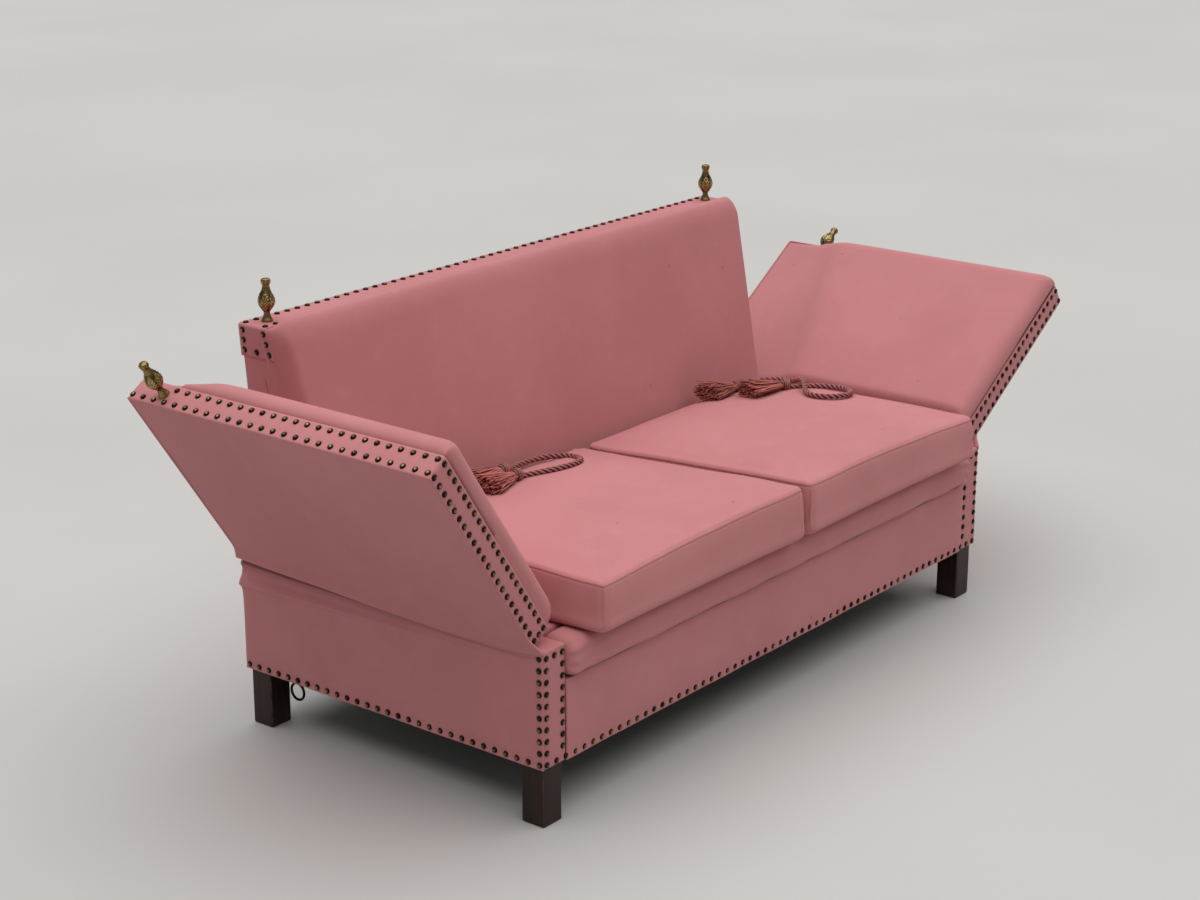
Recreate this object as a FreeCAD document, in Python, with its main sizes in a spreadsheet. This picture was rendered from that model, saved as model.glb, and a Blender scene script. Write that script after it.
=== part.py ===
"""A two-seat drop-arm sofa: a covered box base on four square legs, a raked back, two arms that tilt
outwards on hinges along the base's sides, two loose seat cushions and two loose ropes with tassels.

Millimetres, +Z up, +Y to the rear, +X to the right as seen from the front. The origin lies on
the floor under the middle of the base. The arms are drawn upright and then tilted to their rest angles.
"""
import FreeCAD, Part
import Sketcher
import math
import os
import re
from FreeCAD import Vector

doc = FreeCAD.newDocument("drop_arm_sofa")

# Driving dimensions: millimetres, degrees for angles

SIZES = (
    ("base_length", 1440, "outside length of the base"),
    ("base_depth", 726, "outside depth of the base"),
    ("leg_height", 112, "floor to the lower edge of the covers"),
    ("leg_width", 50, "side of a square leg"),
    ("leg_inset", 6, "leg set in from the base's corner"),
    ("leg_chamfer", 2, "bevel round the foot of a leg"),
    ("bolt_diameter", 10, "hanger bolt of a leg"),
    ("bolt_reach", 45, "hanger bolt, into the leg and into its block"),
    ("block_width", 48, "side of a corner block"),
    ("block_height", 60, "height of a corner block"),
    ("cover", 3, "cover cloth with its wadding"),
    ("board", 20, "thickness of the frame boards"),
    ("post_width", 60, "front post, along the front"),
    ("post_depth", 58, "front post, along the side"),
    ("post_round", 9, "rounding of a post's top"),
    ("apron_top", 262, "floor to the top of the front rail"),
    ("web_width", 50, "width of a webbing strap"),
    ("web_thickness", 2.4, "thickness of a webbing strap"),
    ("seat_web_pitch", 118, "spacing of the seat's straps"),
    ("back_web_pitch", 128, "spacing of the back's straps"),
    ("centre_rail_height", 60, "height of the centre rail"),
    ("border_reach", 18, "front border roll in front of the apron"),
    ("border_round", 9, "rounding of the front border roll"),
    ("seat_front", 334, "floor to the seat deck at its front"),
    ("seat_fall", 26, "how far the seat deck falls to the rear"),
    ("soft_gap", 0.4, "clearance between a loose soft piece and its seat"),
    ("cushion_length", 619, "length of one seat cushion"),
    ("cushion_gap", 5, "gap between the two cushions"),
    ("cushion_overhang", 58, "cushion in front of the base"),
    ("cushion_height", 104, "height of a cushion's side"),
    ("cushion_crown", 22, "rise of a cushion's top"),
    ("cushion_swell", 7, "swell of a cushion's side"),
    ("cushion_draw", 5, "cushion's sides drawn in between corners"),
    ("cushion_round", 16, "rounding of a cushion's ends"),
    ("hinge_height", 334, "floor to the arm hinge axis"),
    ("hinge_inset", 6, "arm hinge axis in from the base's side"),
    ("hinge_gap", 4, "arm hinge axis to the rail below and the arm above"),
    ("hinge_length", 70, "length of one hinge"),
    ("hinge_margin", 130, "end of the arm to the middle of its outer hinges"),
    ("leaf_width", 16, "width of a hinge leaf"),
    ("leaf_thickness", 2.5, "thickness of a hinge leaf"),
    ("knuckle_diameter", 7.6, "outside of a hinge knuckle"),
    ("pin_diameter", 4, "hinge pin"),
    ("running_gap", 0.05, "radial clearance of a turning pin"),
    ("side_gap", 0.4, "clearance beside a turning piece"),
    ("arm_height", 445, "hinge axis to the top of the arm"),
    ("arm_timber", 41, "thickness of the arm's frame"),
    ("arm_rail", 46, "width of the arm's rails and stiles"),
    ("arm_setback", 20, "arm behind the base's front"),
    ("arm_pad", 45, "thickness of the arm's inside pad"),
    ("arm_pad_crown", 5, "rise of the arm pad's face"),
    ("arm_pad_round", 24, "rounding of the arm pad's ends"),
    ("arm_pad_bevel", 50, "arm pad's slope towards its thin rear"),
    ("arm_pad_clear", 14, "arm pad in front of the back's pad"),
    ("left_drop", 34, "left arm's tilt from upright"),
    ("right_drop", 57, "right arm's tilt from upright"),
    ("back_top", 779, "floor to the top of the back"),
    ("back_length_top", 1410, "length of the back at its top"),
    ("back_length_low", 1326, "length of the back at the base"),
    ("back_rake", 14, "rake of the back's front"),
    ("back_lean", 6, "how far the back's rear face leans in"),
    ("back_top_depth", 68, "depth of the back's top"),
    ("back_timber", 26, "thickness of the back's stiles"),
    ("back_rail_height", 46, "height of the back's rails"),
    ("back_rail_lift", 40, "back's lower rail above the base"),
    ("back_pad", 36, "thickness of the back's pad"),
    ("back_pad_crown", 8, "rise of the back pad's face"),
    ("back_pad_round", 30, "rounding of the back pad's ends"),
    ("finial_height", 80, "height of a finial"),
    ("finial_bulb", 32, "widest part of a finial"),
    ("finial_foot", 22, "foot of a finial"),
    ("finial_waist", 12, "waist above a finial's foot"),
    ("finial_neck", 14, "neck above a finial's bulb"),
    ("finial_head", 18, "head of a finial"),
    ("back_finial_inset", 38, "back finial in from the back's end"),
    ("arm_finial_inset", 76, "arm finial in from the arm's rear"),
    ("nail_diameter", 11.5, "dome of a nail"),
    ("nail_rise", 4, "height of a nail's dome"),
    ("nail_edge", 9, "nails in from an edge"),
    ("base_nail_pitch", 25, "spacing of the nails on the base"),
    ("post_nail_pitch", 22.5, "spacing of the nails on a post"),
    ("arm_nail_pitch", 26, "spacing of the nails along an arm"),
    ("front_nail_pitch", 20, "spacing of the nails down an arm's front"),
    ("cap_nail_pitch", 19, "spacing of the nails on the back's sides"),
    ("catch_from_rear", 82, "middle of the arm catch in from the rear"),
    ("catch_plate", 6, "thickness of the ratchet and the pawl"),
    ("ratchet_radius", 30, "outside of the ratchet sector"),
    ("ratchet_width", 8, "width of the ratchet sector"),
    ("ratchet_sweep", 88, "angle of the ratchet sector"),
    ("ratchet_teeth", 14, "number of the ratchet's notches"),
    ("notch_depth", 2.2, "depth of a ratchet notch"),
    ("ratchet_tab", 36, "ratchet's tab in the arm's bottom rail"),
    ("slot_gap", 1.5, "clearance of the slot that the ratchet turns in"),
    ("nose_drop", 3, "pawl's nose below the hinge axis"),
    ("pawl_gap", 0.5, "pawl's nose clear of the ratchet"),
    ("pawl_drop", 50, "pawl's pivot below the hinge axis"),
    ("pawl_inset", 26, "pawl's pivot inside the hinge axis"),
    ("pawl_tail", 18, "pawl's pivot to the pull rod"),
    ("pawl_limb", 8, "width of the pawl's limbs"),
    ("pawl_boss", 12, "boss round the pawl's pivot"),
    ("pivot_diameter", 6, "pawl's pivot pin"),
    ("bracket_plate", 2.5, "thickness of the pawl bracket"),
    ("bracket_height", 34, "height of the pawl bracket"),
    ("rod_diameter", 4, "pull rod"),
    ("rod_hole", 8, "hole in the pawl for the pull rod"),
    ("rod_collar", 11, "collar on top of the pull rod"),
    ("collar_height", 4, "height of that collar"),
    ("rod_below", 28, "pull rod below the covers"),
    ("ring_diameter", 38, "pull ring, outside"),
    ("ring_wire", 5, "wire of the pull ring"),
    ("spring_wire", 2.4, "square wire of the pawl spring"),
    ("spring_turns", 2, "turns of the pawl spring"),
    ("spring_room", 10, "width of the pawl spring in its bracket"),
    ("rope_diameter", 12, "twisted rope"),
    ("tassel_length", 95, "skirt of a tassel"),
    ("tassel_width", 44, "skirt of a tassel at its end"),
    ("tassel_height", 28, "height of a tassel as it lies"),
    ("knot_diameter", 26, "wound knot at a tassel's head"),
)

sheet = doc.addObject("Spreadsheet::Sheet", "Sizes")
for row, (alias, number, meaning) in enumerate(SIZES, start=1):
    sheet.set(f"A{row}", meaning)
    sheet.set(f"B{row}", str(number))
    sheet.setAlias(f"B{row}", alias)
doc.recompute()

# Derived places, as rules in the sheet's words

RULES = {
    "half": "base_length / 2",
    "front": "-base_depth / 2",
    "rear": "base_depth / 2",
    "frame_bottom": "leg_height + cover",
    "frame_half": "half - cover",
    "inside_half": "frame_half - board",
    "inside_rear": "rear - cover - board",
    "inside_front": "front + cover + board",
    "post_inner": "half - post_width",
    "rail_top": "hinge_height - hinge_gap",
    "hinge_x": "half - hinge_inset",
    "leg_centre_x": "half - leg_inset - leg_width / 2",
    "leg_centre_y": "rear - leg_inset - leg_width / 2",
    "web_top": "apron_top + web_thickness",
    "arm_front": "front + arm_setback",
    "arm_bottom": "hinge_height + hinge_gap",
    "arm_top": "hinge_height + arm_height",
    "arm_inner": "frame_half - arm_timber",
    "frame_top": "back_top - cover",
    "back_rear_top": "rear - back_lean",
    "back_front_top": "back_rear_top - back_top_depth",
    "back_reach": "back_pad / cos(back_rake) + back_pad_crown",
    "side_lean": "(back_length_top - back_length_low) / 2 / (frame_top - rail_top)",
    "catch_y": "rear - catch_from_rear",
    "pivot_x": "hinge_x - pawl_inset",
    "pivot_z": "hinge_height - pawl_drop",
    "rod_x": "pivot_x - pawl_tail",
    "nose_z": "hinge_height - nose_drop",
    "nose_x": "hinge_x - sqrt((ratchet_radius + pawl_gap)^2 - nose_drop^2)",
    "rod_end": "leg_height - rod_below",
    "deck_front": "front + post_depth",
    "seat_half": "cushion_gap / 2 + cushion_length",
}
ALIASES = {alias for alias, number, meaning in SIZES}


def tie(text):
    """Turn a rule in the sheet's words into an expression on the sheet."""
    def swap(found):
        word = found.group()
        if word in RULES:
            return "(" + tie(RULES[word]) + ")"
        return "Sizes." + word if word in ALIASES else word
    return re.sub(r"[a-z_]+[a-z0-9_]*", swap, str(text))


def mm(text):
    """The number that a rule gives."""
    return float(sheet.evalExpression(tie(text)))


def bind(obj, **rules):
    """Bind an object's properties to rules. Two underscores stand for a dot."""
    for prop, text in rules.items():
        obj.setExpression(prop.replace("__", "."), tie(text))
    return obj


def block(name, x, y, z):
    """A rectangular block from the rules of its lowest and highest x, y and z."""
    obj = doc.addObject("Part::Box", name)
    bind(obj, Length=f"({x[1]}) - ({x[0]})", Width=f"({y[1]}) - ({y[0]})", Height=f"({z[1]}) - ({z[0]})")
    return bind(obj, Placement__Base__x=x[0], Placement__Base__y=y[0], Placement__Base__z=z[0])


def rod(name, diameter, length, x, y, z, along="z"):
    """A round bar that starts at x, y, z and runs along +z, +y or +x."""
    turn = {"z": "vector(0; 0; 1); 0", "y": "vector(1; 0; 0); -90", "x": "vector(0; 1; 0); 90"}[along]
    obj = doc.addObject("Part::Cylinder", name)
    bind(obj, Radius=f"({diameter}) / 2", Height=length)
    return bind(obj, Placement=f"placement(vector({x}; {y}; {z}); rotation({turn}))")


def cut(name, base, tool):
    obj = doc.addObject("Part::Cut", name)
    obj.Base, obj.Tool = base, tool
    return obj


def fuse(name, pieces):
    obj = doc.addObject("Part::MultiFuse", name)
    obj.Shapes = pieces
    return obj


def made(name, shape):
    """A piece whose shape is worked out from the sheet's sizes."""
    obj = doc.addObject("Part::Feature", name)
    obj.Shape = shape
    return obj


NODES = []


def node(label, pieces):
    """A finished sub-part: the solids in it, under the name of its file."""
    obj = doc.addObject("Part::Compound", label)
    obj.Links = pieces if isinstance(pieces, list) else [pieces]
    obj.Label = label
    NODES.append(obj)
    return obj


LEFT, RIGHT = -1, 1
SIDES = ((LEFT, "left"), (RIGHT, "right"))


def span(side, low, high):
    """The x range of a piece that is drawn for the right and mirrored for the left."""
    return (low, high) if side == RIGHT else (f"-({high})", f"-({low})")


def arm_node(side, label, pieces):
    """A sub-part of an arm, tilted about the hinge axis to the arm's rest angle."""
    obj = node(label, pieces)
    drop = "right_drop" if side == RIGHT else "-left_drop"
    turn = f"rotation(vector(0; 1; 0); {drop})"
    axis = f"vector({side} * hinge_x; 0; hinge_height)"
    return bind(obj, Placement=f"placement(vector(0; 0; 0); {turn}; {axis})")


def back_front(z):
    """The rule for the y of the back frame's raked front at height z."""
    return f"back_front_top - (back_top - ({z})) * tan(back_rake)"


def back_half(z):
    """The rule for half the back's length at height z, covers included."""
    return f"back_length_low / 2 + (({z}) - rail_top) * side_lean"


def upright_wedge(name, z, x_low, x_high, y_low, y_high):
    """A block that tapers upwards: x and y ranges at its foot and at its head."""
    obj = doc.addObject("Part::Wedge", name)
    bind(obj, Ymin=z[0], Ymax=z[1], Xmin=x_low[0], Xmax=x_low[1], X2min=x_high[0], X2max=x_high[1])
    bind(obj, Zmin=f"-({y_low[1]})", Zmax=f"-({y_low[0]})")
    bind(obj, Z2min=f"-({y_high[1]})", Z2max=f"-({y_high[0]})")
    return bind(obj, Placement="placement(vector(0; 0; 0); rotation(vector(1; 0; 0); 90))")


def soft_section(corners, swells):
    """A closed section whose sides are arcs that swell outwards, or lines where the swell is nothing."""
    middle = sum(corners, Vector()) / len(corners)
    edges = []
    for corner, following, swell in zip(corners, corners[1:] + corners[:1], swells):
        if swell == 0:
            edges.append(Part.LineSegment(corner, following).toShape())
            continue
        run = (following - corner).normalize()
        half_way = (corner + following) / 2
        outward = half_way - middle
        outward = (outward - run * outward.dot(run)).normalize()
        edges.append(Part.Arc(corner, half_way + outward * swell, following).toShape())
    return Part.Wire(edges)


def soft_loft(sections):
    """A padded form through its sections, ruled from one to the next."""
    return Part.makeLoft(sections, True, True)


def eased(low, high, ease):
    """Places from low to high, each with the inset that rounds both ends by a quarter circle."""
    turns = [math.radians(angle) for angle in (90, 67, 45, 22, 0)]
    start = [(low + ease * (1 - math.sin(turn)), ease * (1 - math.cos(turn))) for turn in turns]
    middle = [(low + (high - low) * share, 0) for share in (0.2, 0.35, 0.5, 0.65, 0.8)]
    end = [(low + high - place, inset) for place, inset in reversed(start)]
    return start + middle + end


def hump(place, low, high):
    """A share that is 1 half-way from low to high and falls to 0 at both."""
    return 1 - abs(2 * (place - low) / (high - low) - 1) ** 2.5


# Legs and front posts: square timbers, each leg on a hanger bolt

def square_body(name, width, depth, height):
    """A rectangle about its own origin, padded upwards."""
    body = doc.addObject("PartDesign::Body", name)
    plane = next(p for p in body.Origin.OriginFeatures if p.Role == "XY_Plane")
    sketch = body.newObject("Sketcher::SketchObject", name + "_outline")
    sketch.AttachmentSupport = (plane, [""])
    sketch.MapMode = "FlatFace"
    x, y = mm(width) / 2, mm(depth) / 2
    corners = [Vector(-x, -y), Vector(x, -y), Vector(x, y), Vector(-x, y)]
    for start, end in zip(corners, corners[1:] + corners[:1]):
        sketch.addGeometry(Part.LineSegment(start, end))
    for line in range(4):
        sketch.addConstraint(Sketcher.Constraint("Coincident", line, 2, (line + 1) % 4, 1))
    for line in (0, 2):
        sketch.addConstraint(Sketcher.Constraint("Horizontal", line))
        sketch.addConstraint(Sketcher.Constraint("Vertical", line + 1))
    sketch.addConstraint(Sketcher.Constraint("Symmetric", 0, 1, 1, 2, -1, 1))
    wide = sketch.addConstraint(Sketcher.Constraint("DistanceX", 0, 1, 0, 2, 2 * x))
    deep = sketch.addConstraint(Sketcher.Constraint("DistanceY", 1, 1, 1, 2, 2 * y))
    sketch.setExpression(f"Constraints[{wide}]", tie(width))
    sketch.setExpression(f"Constraints[{deep}]", tie(depth))
    pad = body.newObject("PartDesign::Pad", name + "_pad")
    pad.Profile = sketch
    bind(pad, Length=height)
    doc.recompute()
    return body, pad


def face_at(shape, z):
    """The name of the level face at height z."""
    return next(f"Face{i}" for i, face in enumerate(shape.Faces, 1) if abs(face.CenterOfMass.z - z) < 1e-6)


def leg_body(name):
    body, pad = square_body(name, "leg_width", "leg_width", "frame_bottom")
    bevel = body.newObject("PartDesign::Chamfer", name + "_foot")
    bevel.Base = (pad, [face_at(pad.Shape, 0)])
    bind(bevel, Size="leg_chamfer")
    return body


def post_body(name):
    height = "rail_top - leg_height"
    body, pad = square_body(name, "post_width", "post_depth", height)
    rounding = body.newObject("PartDesign::Fillet", name + "_rounding")
    rounding.Base = (pad, [face_at(pad.Shape, mm(height))])
    bind(rounding, Radius="post_round")
    return body


CORNERS = (
    ("front_left", LEFT, -1),
    ("front_right", RIGHT, -1),
    ("rear_left", LEFT, 1),
    ("rear_right", RIGHT, 1),
)
blocks, bolts, legs = [], [], {}
for corner, side, end in CORNERS:
    x, y = f"{side} * leg_centre_x", f"{end} * leg_centre_y"
    leg = bind(leg_body(corner + "_leg_timber"), Placement__Base__x=x, Placement__Base__y=y)
    bolt = rod(corner + "_bolt", "bolt_diameter", "2 * bolt_reach", x, y, "frame_bottom - bolt_reach")
    bolts.append(bolt)
    legs[corner] = fuse(corner + "_leg_on_bolt", [leg, bolt])
    node(corner + "_leg", cut(corner + "_leg_bored", leg, bolt))
    reach = "inside_half" if end == 1 else "post_inner"
    depth = ("inside_rear - block_width", "inside_rear")
    if end == -1:
        depth = ("inside_front", "inside_front + block_width")
    height = ("frame_bottom", "frame_bottom + block_height")
    timber = block(corner + "_block_timber", span(side, f"{reach} - block_width", reach), depth, height)
    blocks.append(cut(corner + "_block_bored", timber, bolt) if end == 1 else timber)
node("leg_bolts", bolts)
node("corner_blocks", blocks)

for side, name in SIDES:
    post = bind(post_body(name + "_post_timber"),
                Placement__Base__x=f"{side} * (half - post_width / 2)",
                Placement__Base__y="front + post_depth / 2",
                Placement__Base__z="leg_height")
    node(name + "_front_post", cut(name + "_post_bored", post, legs["front_" + name]))

# Base frame: boards on edge between the posts and round the rear, with webbing across

RAIL_HEIGHT = ("frame_bottom", "rail_top")
node("front_rail", block("front_board", ("-post_inner", "post_inner"), ("front + cover", "inside_front"),
                         ("frame_bottom", "apron_top")))
node("back_rail", block("rear_board", ("-inside_half", "inside_half"), ("inside_rear", "rear - cover"),
                        RAIL_HEIGHT))
node("centre_rail", block("centre_board", ("-board / 2", "board / 2"), ("inside_front", "inside_rear"),
                          ("frame_bottom", "frame_bottom + centre_rail_height")))
for side, name in SIDES:
    board = block(name + "_board", span(side, "inside_half", "frame_half"), ("deck_front", "rear - cover"),
                  RAIL_HEIGHT)
    slot = block(name + "_ratchet_slot", span(side, "inside_half", "hinge_x - slot_gap"),
                 ("catch_y - catch_plate / 2 - slot_gap", "catch_y + catch_plate / 2 + slot_gap"),
                 ("hinge_height - ratchet_radius - slot_gap", "rail_top"))
    node(name + "_side_rail", cut(name + "_board_slotted", board, slot))

straps = []
along = int(mm("(post_inner - web_width / 2) / seat_web_pitch"))
for i in range(-along, along + 1):
    straps.append(block(f"long_strap_{i + along}",
                        (f"{i} * seat_web_pitch - web_width / 2", f"{i} * seat_web_pitch + web_width / 2"),
                        ("front + cover", "inside_rear"), ("apron_top", "web_top")))
across = int(mm("(catch_y - spring_room - web_width) / seat_web_pitch"))
for i in range(-across, across + 1):
    straps.append(block(f"cross_strap_{i + across}", ("-inside_half", "inside_half"),
                        (f"{i} * seat_web_pitch - web_width / 2", f"{i} * seat_web_pitch + web_width / 2"),
                        ("apron_top - web_thickness", "apron_top")))
node("seat_webbing", straps)

# Base covers: cloth over wadding, nailed along the lower edge, and a dust cover below

node("front_cover", block("apron_cloth", ("-post_inner", "post_inner"), ("front", "front + cover"),
                          ("leg_height", "apron_top")))
for side, name in SIDES:
    node(name + "_side_cover", block(name + "_side_cloth", span(side, "frame_half", "half"),
                                     ("deck_front", "rear"), ("leg_height", "rail_top - hinge_gap")))
cloth = fuse("dust_cloth", [
    block("dust_cloth_rear", ("-frame_half", "frame_half"), ("deck_front", "rear - cover"),
          ("leg_height", "frame_bottom")),
    block("dust_cloth_front", ("-post_inner", "post_inner"), ("front + cover", "deck_front"),
          ("leg_height", "frame_bottom")),
])
holes = [rod(name + "_rod_passage", "rod_diameter + 2 * side_gap", "cover",
             f"{side} * rod_x", "catch_y", "leg_height") for side, name in SIDES]
holes += [legs["rear_left"], legs["rear_right"]]
node("dust_cover", cut("dust_cloth_cut", cloth, fuse("dust_cloth_holes", holes)))

# Back: raked stiles on the back rail, two rails, webbing, and the outside cover round its rear and sides

def back_rear(z):
    """The rule for the y of the back's rear face at height z."""
    return f"rear - back_lean * (({z}) - rail_top) / (frame_top - rail_top)"


BACK_HEIGHT = ("rail_top", "frame_top")


def back_wedge(name, z, x, y):
    """A tapered piece of the back: x and y give a range for a height."""
    return upright_wedge(name, z, x(z[0]), x(z[1]), y(z[0]), y(z[1]))


def inside_stiles(z):
    edge = f"{back_half(z)} - cover - back_timber"
    return (f"-({edge})", edge)


stiles = []
for side, name in SIDES:
    stiles.append(back_wedge(
        name + "_stile", BACK_HEIGHT,
        lambda z: span(side, f"{back_half(z)} - cover - back_timber", f"{back_half(z)} - cover"),
        lambda z: (back_front(z), f"{back_rear(z)} - cover")))
node("back_stiles", stiles)
TOP_RAIL = ("frame_top - back_rail_height", "frame_top")
LOWER_RAIL = ("rail_top + back_rail_lift", "rail_top + back_rail_lift + back_rail_height")
node("back_top_rail", back_wedge("top_timber", TOP_RAIL, inside_stiles,
                                 lambda z: (back_front(z), f"{back_rear(z)} - cover")))
node("back_lower_rail", back_wedge("lower_timber", LOWER_RAIL, inside_stiles,
                                   lambda z: (back_front(z), f"{back_front(z)} + back_timber")))
straps = []
count = int(mm("(back_length_low / 2 - cover - back_timber - web_width / 2) / back_web_pitch"))
for i in range(-count, count + 1):
    edges = (f"{i} * back_web_pitch - web_width / 2", f"{i} * back_web_pitch + web_width / 2")
    straps.append(back_wedge(f"back_strap_{i + count}", (LOWER_RAIL[1], TOP_RAIL[0]), lambda z: edges,
                             lambda z: (back_front(z), f"{back_front(z)} + web_thickness")))
node("back_webbing", straps)

outer = back_wedge("back_outline", BACK_HEIGHT, lambda z: (f"-({back_half(z)})", back_half(z)),
                   lambda z: (back_front(z), back_rear(z)))
inner = back_wedge("back_hollow", BACK_HEIGHT,
                   lambda z: (f"cover - ({back_half(z)})", f"{back_half(z)} - cover"),
                   lambda z: (f"{back_front(z)} - cover", f"{back_rear(z)} - cover"))
rear_cloth = block("rear_cloth", ("-frame_half", "frame_half"), ("rear - cover", "rear"),
                   ("leg_height", "rail_top"))
node("outside_back", fuse("rear_covers", [rear_cloth, cut("back_cloth", outer, inner)]))
node("back_border", block("top_strip", ("-back_length_top / 2", "back_length_top / 2"),
                          ("back_front_top", "back_rear_top"), ("frame_top", "back_top")))

# Padding: the inside back, the seat deck, the front border roll

def back_pad_shape():
    """Slices from the seat up to the top strip, thin at both ends, crowned across."""
    low, high, edge = mm("rail_top"), mm("frame_top"), mm("back_pad_round")
    thickness, crown = mm("back_pad / cos(back_rake)"), mm("back_pad_crown")
    sections = []
    for z, inset in eased(low, high, edge):
        wall, reach = mm(back_front(z)), mm(back_half(z))
        face = wall - thickness + inset
        corners = [Vector(-reach, wall, z), Vector(reach, wall, z),
                   Vector(reach - edge, face, z), Vector(edge - reach, face, z)]
        sections.append(soft_section(corners, (0, edge / 5, crown * (1 - inset / edge / 2), edge / 5)))
    return soft_loft(sections)


def seat_height(y):
    """The height of the seat deck at y."""
    return mm(f"seat_front - seat_fall * (({y}) - deck_front) / ({back_front('rail_top')} - deck_front)")


def seat_deck_shape():
    """A block between the side rails that falls to the rear, its ends eased."""
    near, far, low = mm("deck_front"), mm(back_front("rail_top")), mm("web_top")
    end, ease = mm("inside_half"), mm("border_round")
    sections = []
    for x, drop in ((-end, ease), (ease - end, 0), (end - ease, 0), (end, ease)):
        corners = [Vector(x, near, low), Vector(x, far, low),
                   Vector(x, far, seat_height(far) - drop), Vector(x, near, seat_height(near) - drop)]
        sections.append(soft_section(corners, (0, 0, 0, 0)))
    return soft_loft(sections)


def front_border_shape():
    """A roll between the posts that swells over the apron."""
    near, far, low, high = mm("front - border_reach"), mm("deck_front"), mm("web_top"), mm("seat_front")
    end, ease = mm("post_inner"), mm("border_round")
    sections = []
    for x, inset in eased(-end, end, ease):
        lip, top = near + ease + inset, high - ease - inset
        corners = [Vector(x, lip, low), Vector(x, far, low), Vector(x, far, top), Vector(x, lip, top)]
        sections.append(soft_section(corners, (0, 0, ease, ease)))
    return soft_loft(sections)


node("back_pad", made("back_padding", back_pad_shape()))
node("seat_deck", made("deck_padding", seat_deck_shape()))
node("front_border", made("border_padding", front_border_shape()))

# Seat cushions: boxed, crowned on top, drawn in between their corners, flat where they rest

def cushion_shape(side):
    inner, outer, ease = mm("cushion_gap / 2"), mm("seat_half"), mm("cushion_round")
    height, crown, swell = mm("cushion_height"), mm("cushion_crown"), mm("cushion_swell")
    gap, draw = mm("soft_gap"), mm("cushion_draw")
    near = mm("front - cushion_overhang") + swell
    sections = []
    for x, inset in eased(inner, outer, ease):
        rise = crown * (0.15 + 0.85 * hump(x, inner, outer))
        lip = near + inset + draw * hump(x, inner, outer)
        low_lip = seat_height(lip) + gap
        base = mm(back_front("seat_front - seat_fall")) - mm("back_reach") - swell - gap - inset
        low_heel = seat_height(base) + gap
        high_heel = low_heel + height - inset
        heel = mm(back_front(high_heel)) - mm("back_reach") - swell - gap - inset
        corners = [Vector(side * x, lip, low_lip), Vector(side * x, base, low_heel),
                   Vector(side * x, heel, high_heel), Vector(side * x, lip, low_lip + height - inset)]
        sections.append(soft_section(corners, (0, swell, rise, swell)))
    return soft_loft(sections)


for side, name in SIDES:
    node(name + "_seat_cushion", made(name + "_cushion", cushion_shape(side)))

# Hinges: three butt hinges to an arm, on top of the side rail and under the arm's bottom rail

HINGES = ("arm_front + hinge_margin", "(arm_front + rear) / 2", "rear - hinge_margin")


def knuckle(name, side, start, end, diameter="knuckle_diameter"):
    length = f"({end}) - ({start})"
    return rod(name, diameter, length, f"{side} * hinge_x", start, "hinge_height", along="y")


def hinge(name, side, y):
    """The base leaf with its two knuckles and pin, and the arm leaf whose knuckle turns on the pin."""
    first, last = f"{y} - hinge_length / 2", f"{y} + hinge_length / 2"
    low, high = f"{y} - hinge_length / 6", f"{y} + hinge_length / 6"
    plate = span(side, "hinge_x - leaf_width", "hinge_x")
    clear = span(side, "hinge_x - knuckle_diameter / 2 - side_gap", "hinge_x")
    below, above = ("rail_top", "rail_top + leaf_thickness"), ("arm_bottom - leaf_thickness", "arm_bottom")
    base = cut(name + "_base_leaf",
               block(name + "_base_plate", plate, (first, last), below),
               block(name + "_base_notch", clear, (low, high), below))
    base = fuse(name + "_base", [base,
                                 knuckle(name + "_first", side, first, f"{low} - side_gap"),
                                 knuckle(name + "_last", side, f"{high} + side_gap", last),
                                 knuckle(name + "_pin", side, first, last, "pin_diameter")])
    notches = fuse(name + "_arm_notches", [
        block(name + "_arm_notch_first", clear, (first, low), above),
        block(name + "_arm_notch_last", clear, (high, last), above)])
    arm = cut(name + "_arm_leaf", block(name + "_arm_plate", plate, (first, last), above), notches)
    arm = fuse(name + "_arm_solid", [arm, knuckle(name + "_middle", side, low, high)])
    bore = knuckle(name + "_bore", side, low, high, "pin_diameter + 2 * running_gap")
    return base, cut(name + "_arm", arm, bore)


base_leaves, arm_leaves = [], {LEFT: [], RIGHT: []}
for side, name in SIDES:
    for number, y in enumerate(HINGES, 1):
        base, arm = hinge(f"{name}_hinge_{number}", side, y)
        base_leaves.append(base)
        arm_leaves[side].append(arm)
node("base_hinge_leaves", base_leaves)

# Arm catch: a toothed sector on the arm, a pawl on a bracket, and a rod with a ring to draw the pawl off

CATCH = ("catch_y - catch_plate / 2", "catch_y + catch_plate / 2")


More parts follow.
